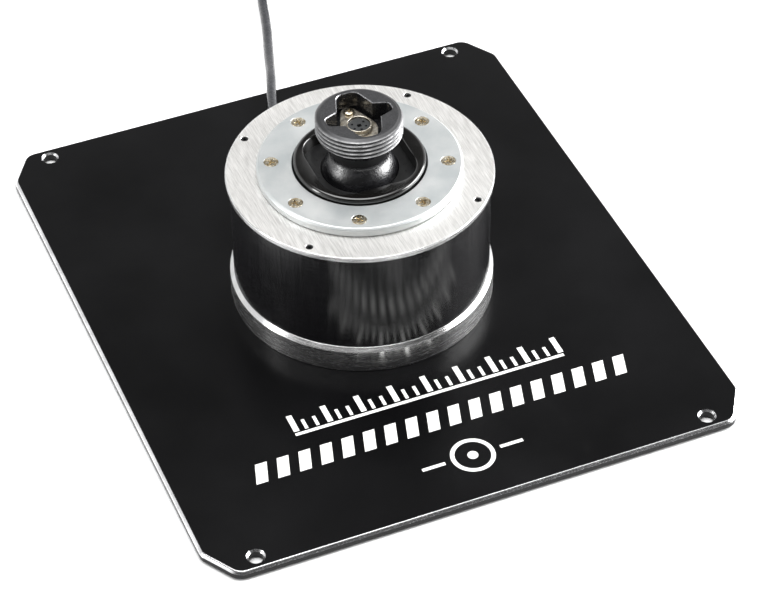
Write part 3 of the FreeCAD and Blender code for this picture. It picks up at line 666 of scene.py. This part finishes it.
def base_disc():
    side_top = TUBE_LOW - FOOT_BEVEL
    spigot_top = TUBE_LOW + FOOT_SPIGOT
    piece = lathe("base_disc_finished", [
        (FOOT_BORE_R, PLATE_TOP, 0), (FOOT_R - 0.3 * mm, PLATE_TOP, 0),
        (FOOT_R, PLATE_TOP + 0.3 * mm, 0), (FOOT_R, side_top, 0.5 * mm),
        (FOOT_R - FOOT_BEVEL, TUBE_LOW, 0.3 * mm), (SPIGOT_R, TUBE_LOW, 0),
        (SPIGOT_R, spigot_top, 0.4 * mm), (FOOT_BORE_R, spigot_top, 0.4 * mm)], ROUND_STEPS)
    floor_top = PLATE_TOP + FOOT_FLOOR
    floor = plug_shape("floor", [(0, PLATE_TOP), (FOOT_BORE_R, PLATE_TOP), (FOOT_BORE_R, floor_top),
                                 (0, floor_top)], 96)
    gland = moved(plug_shape("cutter", [(3.7 * mm, -14 * mm), (3.7 * mm, -0.7 * mm), (6 * mm, -0.7 * mm),
                                        (6 * mm, 5 * mm)]), (0, 0, 0), -math.pi / 2, "X")
    relief_r = 5.2 * mm
    moved(gland, (0, FOOT_R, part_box("strain_relief")[0].z + relief_r))
    carve(piece, [gland])
    whole = joined("base_disc_finished", [piece, floor])
    smooth(whole.data)
    return settle(whole, "base", "base_disc", "turned_aluminium", MATERIALS["polished"])


def housing_tube():
    inner = TUBE_R - TUBE_WALL
    piece = lathe("housing_tube_finished", [
        (inner, TUBE_LOW, 0.2 * mm), (TUBE_R, TUBE_LOW, 0.3 * mm), (TUBE_R, TUBE_HIGH, 0.3 * mm),
        (inner, TUBE_HIGH, 0.2 * mm)], ROUND_STEPS)
    return settle(piece, "base", "housing_tube", "black_anodised", MATERIALS["anodised"])


def top_ring():
    under = TUBE_HIGH
    spigot_low = under - RING_SPIGOT
    shelf = PIVOT.z - 3.2 * mm
    piece = lathe("top_ring_finished", [
        (CARTRIDGE_SHELF_R, spigot_low, 0), (SPIGOT_R, spigot_low, 0.3 * mm), (SPIGOT_R, under, 0),
        (TOP_RING_R, under, 0.45 * mm), (TOP_RING_R, RING_TOP, 0.5 * mm),
        (CARTRIDGE_BORE_R, RING_TOP, 0.1 * mm), (CARTRIDGE_BORE_R, shelf, 0),
        (CARTRIDGE_SHELF_R, shelf, 0)], ROUND_STEPS)
    cutters = [moved(plug_shape("cutter", [(1.55 * mm, -3 * mm), (1.55 * mm, -0.18 * mm),
                                           (1.73 * mm, 0), (1.73 * mm, mm)]),
                     polar(RING_SCREW_CIRCLE, angle, RING_TOP)) for angle in DIAGONALS]
    carve(piece, cutters)
    settle(piece, "base", "top_ring", "turned_aluminium", MATERIALS["brushed"], MATERIALS["polished"])
    paint_faces(piece, 1, lambda c, n: c.xy.length > TOP_RING_R - 0.55 * mm and n.z < 0.97)
    return piece


def ring_screws():
    """Hexagon-socket screws, sunk a little into their holes."""
    top = RING_TOP - 0.35 * mm
    screw = plug_shape("screw", [(1.45 * mm, top - 3 * mm), (1.5 * mm, top - 0.25 * mm),
                                 (1.3 * mm, top), (0.0, top)], 40)
    key = [polar(0.75 * mm, 60 * k).xy for k in range(6)]
    carve(screw, [prism("cutter", key, [(top - 1.2 * mm, 0), (top - 0.1 * mm, 0),
                                        (top + 0.2 * mm, 0.2 * mm)])])
    parts = copies(screw, [(polar(RING_SCREW_CIRCLE, a), random.uniform(0, 1)) for a in DIAGONALS])
    piece = joined("ring_screws_finished", parts)
    smooth(piece.data)
    return settle(piece, "base", "ring_screws", "black_steel", MATERIALS["black steel"])


def retaining_ring():
    """Ring with a softened bevel and a small undercut round its foot."""
    undercut_r = RETAIN_R - 0.7 * mm
    undercut_top = RING_TOP + 0.35 * mm
    bevel = 0.9 * mm
    piece = lathe("retaining_ring_finished", [
        (RETAIN_BORE_R, RING_TOP, 0.1 * mm), (undercut_r, RING_TOP, 0.02 * mm),
        (undercut_r, undercut_top, 0.02 * mm), (RETAIN_R, undercut_top, 0.1 * mm),
        (RETAIN_R, RETAIN_TOP - bevel, 0.6 * mm), (RETAIN_R - bevel, RETAIN_TOP, 0.8 * mm),
        (RETAIN_BORE_R, RETAIN_TOP, 0.4 * mm)], ROUND_STEPS, round_steps=6)
    sink = [(1.55 * mm, -5 * mm), (1.55 * mm, -1.6 * mm), (3.1 * mm, -0.1 * mm), (3.2 * mm, 0),
            (3.2 * mm, mm)]
    cutters = [moved(plug_shape("cutter", sink), polar(RETAIN_SCREW_CIRCLE, a, RETAIN_TOP))
               for a in RETAIN_SCREW_ANGLES]
    carve(piece, cutters)
    return settle(piece, "base", "retaining_ring", "satin_aluminium", MATERIALS["satin"])


def cross_cutter(reach, width, low, top):
    """Tapered cross of a cross-head screw."""
    outline = []
    for k in range(4):
        a = math.radians(90 * k)
        for along, across in ((reach, -width), (reach, width), (width, width)):
            outline.append((along * math.cos(a) - across * math.sin(a),
                            along * math.sin(a) + across * math.cos(a), 0.08 * mm))
    shape = rounded(outline, 2)
    loops = []
    for z, scale in ((low, 0.35), (top, 1.0), (top + 0.4 * mm, 1.25)):
        loops.append([Vector((p.x * scale, p.y * scale, z)) for p in shape])
    return loft("cutter", loops)


def retaining_screws():
    """Countersunk cross-head screws with slightly crowned heads, each turned its own way."""
    top = RETAIN_TOP
    screw = plug_shape("screw", [(1.45 * mm, top - 8 * mm), (1.45 * mm, top - 1.6 * mm),
                                 (2.9 * mm, top - 0.2 * mm), (3.0 * mm, top - 0.1 * mm),
                                 (2.95 * mm, top - 0.02 * mm), (2.5 * mm, top + 0.04 * mm),
                                 (1.6 * mm, top + 0.1 * mm), (0.0, top + 0.12 * mm)], 56)
    carve(screw, [cross_cutter(1.75 * mm, 0.34 * mm, top - 1.5 * mm, top + 0.06 * mm)])
    places = [(polar(RETAIN_SCREW_CIRCLE, a), random.uniform(0, math.pi / 2))
              for a in RETAIN_SCREW_ANGLES]
    piece = joined("retaining_screws_finished", copies(screw, places))
    smooth(piece.data)
    return settle(piece, "base", "retaining_screws", "yellow_zinc", MATERIALS["zinc"])


def gate_outline(half, corner):
    return rounded([(-half, -half, corner), (half, -half, corner), (half, half, corner),
                    (-half, half, corner)], 16)


def gate_bezel():
    """Gloss collar with a rounded-square mouth that stops the stick."""
    piece = lathe("gate_bezel_finished", [
        (3 * mm, PIVOT.z, 0), (GATE_FLANGE_R, PIVOT.z, 0), (GATE_FLANGE_R, RING_TOP, 0.2 * mm),
        (GATE_R, RING_TOP, 0), (GATE_R, LIP_TOP - 0.05 * mm, 1.4 * mm), (3 * mm, LIP_TOP, 0)],
        ROUND_STEPS, round_steps=8)
    edge = 0.8 * mm
    levels = [(PIVOT.z - mm, 0), (LIP_TOP - edge, 0)]
    for k in range(1, 9):
        a = math.radians(11.25 * k)
        levels.append((LIP_TOP - edge + edge * math.sin(a), edge * (1 - math.cos(a))))
    levels.append((LIP_TOP + mm, edge))
    mouth = prism("cutter", gate_outline(GATE_HALF, GATE_CORNER), levels)
    seat_room = plug_shape("cutter", [(SEAT_ROOM_R, PIVOT.z - mm), (SEAT_ROOM_R, PIVOT.z + 4 * mm)], 128)
    carve(piece, [mouth, seat_room])
    return settle(piece, "base", "gate_bezel", "gloss_plastic", MATERIALS["gloss"])


# ---- stick -------------------------------------------------------------------------------------

WAIST_R = 11.5 * mm


def pivot_ball():
    """Ball with a mould line at its equator, a bore for the shaft and a fillet up to the neck."""
    bore = 4.05 * mm
    fillet = 4.0 * mm
    centre_r = WAIST_R + fillet + 0.02 * mm
    centre_z = math.sqrt((BALL_R + fillet) ** 2 - centre_r ** 2)
    meet = math.atan2(centre_z, centre_r)
    start = -math.acos(bore / BALL_R)
    outline = []
    for k in range(73):
        a = start + (meet - start) * k / 72
        dent = 0.03 * mm * math.exp(-(a / 0.02) ** 2)
        outline.append(((BALL_R - dent) * math.cos(a), (BALL_R - dent) * math.sin(a)))
    for k in range(1, 13):
        a = math.pi + meet * (1 - k / 12)
        outline.append((centre_r + fillet * math.cos(a), centre_z + fillet * math.sin(a)))
    outline += [(7.55 * mm, centre_z), (7.55 * mm, centre_z - 8 * mm), (bore, centre_z - 8 * mm)]
    loops = [circle(r, PIVOT.z + z, 160) for r, z in outline]
    piece = loft("pivot_ball_finished", loops, closed=True)
    return settle(piece, "stick", "pivot_ball", "ball", MATERIALS["ball"])


THREAD_PITCH = 2.0 * mm
THREAD_DEPTH = 1.1 * mm
NECK_BOTTOM = NECK_TOP - 9.2 * mm
RIM_R = NECK_R - 2 * mm
BARREL_LOW = FLANGE_LOW - 6 * mm
EAR_REACH = 11 * mm


def thread_radius(angle, z):
    """Radius of a helical thread with flat crests and roots, chamfered at the top."""
    phase = ((z - NECK_BOTTOM) / THREAD_PITCH - angle / (2 * math.pi)) % 1.0
    away = abs(phase - 0.5) * 2
    share = min(1.0, max(0.0, (0.86 - away) / 0.66))
    start = min(1.0, max(0.0, (z - NECK_BOTTOM) / (0.5 * mm)))
    radius = NECK_R - THREAD_DEPTH * (1 - share * start)
    chamfer = RIM_R + 0.15 * mm + 2.1 * (NECK_TOP - 0.12 * mm - z)
    return min(radius, chamfer)


def merged_recess():
    """The two crossing slots of the recess, as cutters with a broken edge at the mouth."""
    floor = FLANGE_LOW
    edge = 0.3 * mm
    cutters = []
    for wide, narrow, near, reach, turn in ((8.0, 4.2, 4.0, 14.8, 90), (4.5, 2.3, 8.0, 14.5, 0)):
        tip = 0.9 * narrow
        corners = []
        for s in (1, -1):
            corners += [(s * near, -s * wide, 1.2), (s * (reach - 0.3), -s * narrow, tip),
                        (s * (reach - 0.3), s * narrow, tip), (s * near, s * wide, 1.2)]
        outline = rounded([(x * mm, y * mm, r * mm) for x, y, r in corners], 8)
        levels = [(floor, 0), (NECK_TOP - edge, 0), (NECK_TOP, edge), (NECK_TOP + mm, 2 * edge)]
        cutters.append(moved(prism("cutter", outline, levels), (0, 0, 0), math.radians(turn)))
    return cutters


def threaded_neck():
    steps = 192
    loops = []
    seat = PIVOT.z + 11.0 * mm
    waist_top = NECK_TOP - 14.5 * mm
    for r, z in ((7.5, seat), (11.5, seat), (11.5, waist_top - 0.9 * mm), (11.56, waist_top - 0.3 * mm),
                 (11.9, waist_top + 0.3 * mm), (16.75, NECK_BOTTOM - 0.2 * mm)):
        loops.append(circle(r * mm, z, steps))
    rise = 0.125 * mm
    rows = int((NECK_TOP - 0.12 * mm - NECK_BOTTOM) / rise) + 1
    for k in range(rows):
        z = NECK_BOTTOM + k * rise
        loops.append([Vector((thread_radius(a, z) * math.cos(a), thread_radius(a, z) * math.sin(a), z))
                      for a in (2 * math.pi * s / steps for s in range(steps))])
    loops.append(circle(RIM_R, NECK_TOP, steps))
    loops.append(circle(RIM_R - 0.15 * mm, NECK_TOP, steps))
    piece = loft("threaded_neck_finished", loops)
    bore_r = BARREL_R + 0.1 * mm
    bore = plug_shape("cutter", [(bore_r, BARREL_LOW), (bore_r, NECK_TOP)], 96)
    carve(piece, merged_recess() + [bore])
    settle(piece, "stick", "threaded_neck", "neck", MATERIALS["neck"], MATERIALS["neck face"],
           MATERIALS["rim"], MATERIALS["recess"])
    paint_faces(piece, 1, lambda c, n: c.xy.length < RIM_R + 0.02 * mm and c.z > NECK_TOP - 0.05 * mm)
    paint_faces(piece, 3, lambda c, n: c.xy.length < RIM_R + 0.02 * mm
                and FLANGE_LOW - 7 * mm < c.z < NECK_TOP - 0.05 * mm)
    # The broken edge of the recess mouth gets the lighter rim metal, a painted highlight.
    paint_faces(piece, 2, lambda c, n: c.xy.length < RIM_R - 0.2 * mm and 0.3 < n.z < 0.95
                and c.z > NECK_TOP - 0.5 * mm)
    return piece


def connector_flange():
    """Oval plate of the grip's socket: a disc with a rounded ear on two sides, each with a hole."""
    disc_r = 7.8 * mm
    ear_r = 3.6 * mm
    lean = math.asin((disc_r - ear_r) / EAR_REACH)
    outline = []
    for reach, radius, start, end in ((0, disc_r, -lean, lean), (EAR_REACH, ear_r, lean, math.pi - lean),
                                      (0, disc_r, math.pi - lean, math.pi + lean),
                                      (-EAR_REACH, ear_r, math.pi + lean, 2 * math.pi - lean)):
        for k in range(17):
            a = start + (end - start) * k / 16
            outline.append(Vector((radius * math.cos(a), reach + radius * math.sin(a))))
    tip = 0.25 * mm
    levels = [(FLANGE_LOW, 0), (FLANGE_HIGH - tip, 0), (FLANGE_HIGH - 0.3 * tip, -0.3 * tip),
              (FLANGE_HIGH, -tip), (FLANGE_HIGH, -tip - 0.1 * mm)]
    piece = prism("connector_flange_finished", outline, levels)
    low = FLANGE_LOW - mm
    top = FLANGE_HIGH + mm
    cutters = [plug_shape("cutter", [(BARREL_R, low), (BARREL_R, top)], 96)]
    for side in (-1, 1):
        hole = plug_shape("cutter", [(1.3 * mm, low), (1.3 * mm, top)])
        cutters.append(moved(hole, (0, side * EAR_REACH, 0)))
    carve(piece, cutters)
    return settle(piece, "stick", "connector_flange", "nickel", MATERIALS["champagne"])


def connector_shell():
    """Barrel of the socket, with a lip where it stands on the flange."""
    inner = BARREL_R - 0.5 * mm
    piece = lathe("connector_shell_finished", [
        (inner, BARREL_LOW, 0), (BARREL_R, BARREL_LOW, 0), (BARREL_R, FLANGE_HIGH, 0),
        (BARREL_R + 0.5 * mm, FLANGE_HIGH, 0.1 * mm),
        (BARREL_R + 0.35 * mm, FLANGE_HIGH + 0.7 * mm, 0.3 * mm), (BARREL_R, FLANGE_HIGH + mm, 0.3 * mm),
        (BARREL_R, BARREL_TOP, 0.2 * mm), (inner, BARREL_TOP, 0.2 * mm)], 128)
    return settle(piece, "stick", "connector_shell", "nickel", MATERIALS["champagne"])


def connector_insert():
    """Dark block with five pin holes round a key hole."""
    top = BARREL_TOP - 0.8 * mm
    radius = BARREL_R - 0.55 * mm
    piece = plug_shape("connector_insert_finished", [(radius, BARREL_LOW), (radius, top - 0.2 * mm),
                                                     (radius - 0.2 * mm, top), (0, top)], 96)
    pin_circle = 2.9 * mm
    cutters = []
    for k in (-2, -1, 1, 2, 3):
        pin = plug_shape("cutter", [(0.5 * mm, top - 4 * mm), (0.5 * mm, top - 0.1 * mm),
                                    (0.62 * mm, top + 0.1 * mm)], 24)
        cutters.append(moved(pin, polar(pin_circle, 90 + 60 * k)))
    key = rounded([(-0.9 * mm, -1.1 * mm, 0.1 * mm), (0.9 * mm, -1.1 * mm, 0.1 * mm),
                   (0.9 * mm, 0.6 * mm, 0.1 * mm), (-0.9 * mm, 0.6 * mm, 0.1 * mm)], 3)
    cutters.append(prism("cutter", key, [(top - 4 * mm, 0), (top + mm, 0)]))
    carve(piece, cutters)
    return settle(piece, "stick", "connector_insert", "dark_insert", MATERIALS["insert"])


def connector_screws():
    top = FLANGE_HIGH + 1.2 * mm
    screw = plug_shape("screw", [(1.2 * mm, FLANGE_LOW - 3 * mm), (1.2 * mm, FLANGE_HIGH),
                                 (2.25 * mm, FLANGE_HIGH), (2.3 * mm, FLANGE_HIGH + 0.35 * mm),
                                 (2.1 * mm, top - 0.35 * mm),
                                 (1.6 * mm, top - 0.08 * mm), (0.0, top)], 48)
    carve(screw, [cross_cutter(1.25 * mm, 0.26 * mm, top - 0.9 * mm, top)])
    parts = copies(screw, [((0, side * EAR_REACH, 0), random.uniform(0, 1.5)) for side in (-1, 1)])
    piece = joined("connector_screws_finished", parts)
    smooth(piece.data)
    return settle(piece, "stick", "connector_screws", "steel", MATERIALS["zinc"])


# ---- lead ----------------------------------------------------------------------------------------

CABLE_R = 2.25 * mm
LEAD_ROUTE = [
    (0.0, 77.2, 10.3), (0.0, 88.0, 10.3), (0.9, 101.0, 8.0), (3.8, 114.5, 6.7),
    (7.8, 128.5, 6.75), (12.9, 142.0, 6.7), (17.0, 154.5, 3.6), (21.0, 167.0, 2.4),
    (25.2, 179.5, 2.35), (28.9, 192.0, 2.35), (31.9, 204.0, 2.35), (35.0, 213.5, 2.45),
]
COIL_CENTRE = Vector((63.0, 240.0, 0))
COIL_SLOTS = [(29.5, 2.6), (25.0, 2.6), (20.5, 2.6), (18.25, 6.5), (22.75, 6.5), (27.25, 6.5),
              (29.5, 10.4), (25.0, 10.4), (20.5, 10.4), (22.75, 14.3), (27.25, 14.3)]
TAIL_ROUTE = [
    (66.0, 267.3, 14.3), (80.0, 267.2, 12.6), (93.5, 262.0, 8.0), (102.6, 253.0, 4.8),
    (106.5, 243.5, 3.8), (106.5, 233.0, 3.8),
]
TURN_STEPS = 20


def coil_points():
    """Clockwise turns from the coil's left side to its far side, each in its own slot."""
    points = []
    turns = len(COIL_SLOTS) - 0.75
    steps = int(turns * TURN_STEPS)
    for k in range(steps + 1):
        turn = k / TURN_STEPS
        here = min(int(turn), len(COIL_SLOTS) - 1)
        ahead = min(here + 1, len(COIL_SLOTS) - 1)
        share = min(1.0, max(0.0, (turn - here - 0.7) / 0.3))
        share = share * share * (3 - 2 * share)
        r = COIL_SLOTS[here][0] * (1 - share) + COIL_SLOTS[ahead][0] * share
        z = COIL_SLOTS[here][1] * (1 - share) + COIL_SLOTS[ahead][1] * share
        a = math.pi - 2 * math.pi * turn
        points.append((COIL_CENTRE.x + r * math.cos(a), COIL_CENTRE.y + r * math.sin(a), z))
    return points


def usb_cable():
    points = LEAD_ROUTE + coil_points() + TAIL_ROUTE[1:]
    curve = bpy.data.curves.new("usb_cable_finished", "CURVE")
    curve.dimensions = "3D"
    curve.bevel_depth = CABLE_R
    curve.bevel_resolution = 6
    curve.resolution_u = 8
    curve.use_fill_caps = True
    spline = curve.splines.new("NURBS")
    spline.points.add(len(points) - 1)
    for point, (x, y, z) in zip(spline.points, points):
        point.co = (x * mm, y * mm, z * mm, 1)
    spline.order_u = 3
    spline.use_endpoint_u = True
    curve.materials.append(MATERIALS["cable"])
    piece = bpy.data.objects.new("usb_cable_finished", curve)
    bpy.context.scene.collection.objects.link(piece)
    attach(piece, "base")
    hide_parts("usb_cable", "usb_coil")
    return piece


# ---- the CAD's own solids that keep their shape ------------------------------------------------------

CAD_LOOKS = {
    "plate_pads": "pad", "plate_screws": "black steel", "tube_screws": "black steel",
    "upper_seat": "slick", "ball_socket": "slick", "guide_bail": "steel", "shaft": "steel",
    "spring_disc": "polished", "disc_nut": "steel", "magnet_holder": "slick", "magnet": "bright steel",
    "spring_seat": "slick", "seat_screws": "bright steel", "main_spring": "spring steel",
    "side_springs": "spring steel", "sensor_board": "board", "hall_sensor": "chip",
    "sensor_screws": "bright steel", "sensor_ribbon": "ribbon", "board_bracket": "steel",
    "bracket_screws": "bright steel", "controller_board": "board", "controller_chips": "chip",
    "board_headers": "header", "inner_cable": "cable", "connector_lead": "cable",
    "strain_relief": "relief", "coil_tie": "tape", "usb_plug_housing": "relief",
    "usb_plug_shell": "bright steel",
}


def dress_cad_nodes():
    for node, look in CAD_LOOKS.items():
        mesh = frame["nodes"][node].data
        mesh.materials.clear()
        mesh.materials.append(MATERIALS[look])


# ---- stage -------------------------------------------------------------------------------------------

def floor():
    bm = bmesh.new()
    bmesh.ops.create_grid(bm, x_segments=4, y_segments=4, size=4.0)
    piece = finish_mesh("floor", bm)
    s = Shader("pale floor", (0.92, 0.92, 0.92), 0.9, Specular_IOR_Level=0.1)
    s.colour(s.mix(s.noise(3, 2), (0.915, 0.915, 0.915), (0.93, 0.93, 0.93)))
    piece.data.materials.append(s.material)
    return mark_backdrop(piece)


CAMERA_AZIMUTH = math.radians(-21.952)
CAMERA_ELEVATION = math.radians(42.708)
CAMERA_ROLL = math.radians(-0.806)
CAMERA_DISTANCE = 1.2193
CAMERA_TARGET = Vector((1.744 * mm, -14.199 * mm, PLATE_TOP))


def camera():
    azimuth, elevation, roll = CAMERA_AZIMUTH, CAMERA_ELEVATION, CAMERA_ROLL
    back = Vector((math.sin(azimuth) * math.cos(elevation), -math.cos(azimuth) * math.cos(elevation),
                   math.sin(elevation)))
    level = Vector((math.cos(azimuth), math.sin(azimuth), 0))
    upright = back.cross(level)
    right = level * math.cos(roll) + upright * math.sin(roll)
    up = upright * math.cos(roll) - level * math.sin(roll)
    data = bpy.data.cameras.new("camera")
    data.sensor_width = 36.0
    data.lens = 136.86
    data.clip_start = 0.05
    data.clip_end = 20
    piece = bpy.data.objects.new("camera", data)
    bpy.context.scene.collection.objects.link(piece)
    turn = Matrix((right, up, back)).transposed().to_4x4()
    piece.matrix_world = Matrix.Translation(CAMERA_TARGET + back * CAMERA_DISTANCE) @ turn
    bpy.context.scene.camera = piece


def softbox(name, where, target, width, height, watts):
    data = bpy.data.lights.new(name, "AREA")
    data.shape = "RECTANGLE"
    data.size = width
    data.size_y = height
    data.energy = watts
    piece = bpy.data.objects.new(name, data)
    bpy.context.scene.collection.objects.link(piece)
    piece.location = where
    piece.rotation_euler = (Vector(target) - Vector(where)).to_track_quat("-Z", "Y").to_euler()


def ramp_node(tree, source, low, high, out_low, out_high):
    node = tree.nodes.new("ShaderNodeMapRange")
    node.interpolation_type = "SMOOTHSTEP"
    for key, value in (("From Min", low), ("From Max", high), ("To Min", out_low), ("To Max", out_high)):
        node.inputs[key].default_value = value
    tree.links.new(source, node.inputs["Value"])
    return node.outputs["Result"]


def product(tree, first, second):
    node = tree.nodes.new("ShaderNodeMath")
    node.operation = "MULTIPLY"
    tree.links.new(first, node.inputs[0])
    tree.links.new(second, node.inputs[1])
    return node.outputs["Value"]


def studio():
    """White room with a soft light overhead, dark on the front side and between walls and ceiling."""
    world = bpy.data.worlds.new("studio")
    world.use_nodes = True
    tree = world.node_tree
    coordinate = tree.nodes.new("ShaderNodeTexCoord")
    parts = tree.nodes.new("ShaderNodeSeparateXYZ")
    tree.links.new(coordinate.outputs["Generated"], parts.inputs["Vector"])
    wall = ramp_node(tree, parts.outputs["Z"], 0.66, 0.46, 0.10, 1.0)
    overhead = ramp_node(tree, parts.outputs["Z"], 0.74, 0.93, 0.0, 1.6)
    front = ramp_node(tree, parts.outputs["Y"], -0.55, -0.05, 0.10, 1.0)
    lit = product(tree, wall, front)
    total = tree.nodes.new("ShaderNodeMath")
    total.operation = "ADD"
    tree.links.new(lit, total.inputs[0])
    tree.links.new(overhead, total.inputs[1])
    tree.links.new(total.outputs["Value"], tree.nodes["Background"].inputs["Strength"])
    tree.nodes["Background"].inputs["Color"].default_value = (1, 1, 1, 1)
    bpy.context.scene.world = world
    bpy.context.scene.view_settings.view_transform = "Standard"


def lights():
    softbox("key from above", (-0.2, 0.1, 2.2), (0, 0, 0), 1.8, 1.8, 40)
    softbox("right", (1.5, -0.25, 0.62), (0, 0, 0.07), 1.5, 0.9, 64)
    softbox("left strip", (-1.6, 0.15, 0.50), (0, 0, 0.07), 0.35, 0.8, 11)


MATERIALS = {
    "coat": plate_coat(), "bare": bare_edge(), "anodised": anodised(), "brushed": brushed_top(),
    "satin": satin_ring(), "polished": polished(), "gloss": gloss_black(), "ball": greased_ball(),
    "neck": neck_metal(), "neck face": neck_face(), "recess": recess_wall(), "rim": neck_rim_highlight(),
    "champagne": champagne(), "zinc": yellow_zinc(), "cable": cable_jacket(), "print": white_print(),
    "tape": hook_tape(), "board": circuit_board(),
    "black steel": plain_metal("black oxide steel", (0.06, 0.06, 0.062), 0.38),
    "steel": plain_metal("machined steel", (0.52, 0.52, 0.53), 0.34),
    "bright steel": plain_metal("bright steel", (0.68, 0.68, 0.70), 0.26),
    "spring steel": plain_metal("spring steel", (0.42, 0.42, 0.44), 0.3),
    "slick": plain_plastic("slick plastic", (0.006, 0.006, 0.0065), 0.34),
    "insert": plain_plastic("socket insert", (0.035, 0.037, 0.038), 0.42),
    "pad": plain_plastic("foam pad", (0.03, 0.03, 0.031), 0.85, 900),
    "chip": plain_plastic("chip", (0.02, 0.02, 0.02), 0.5),
    "ribbon": plain_plastic("ribbon", (0.42, 0.43, 0.45), 0.45),
    "header": plain_plastic("header", (0.72, 0.71, 0.66), 0.45),
    "relief": plain_plastic("moulded rubber", (0.022, 0.022, 0.024), 0.55, 1200),
}

camera()
usb_cable()
dress_cad_nodes()
mounting_plate()
printed_marks()
base_disc()
housing_tube()
top_ring()
ring_screws()
retaining_ring()
retaining_screws()
gate_bezel()
pivot_ball()
threaded_neck()
connector_flange()
connector_shell()
connector_insert()
connector_screws()
floor()
studio()
lights()
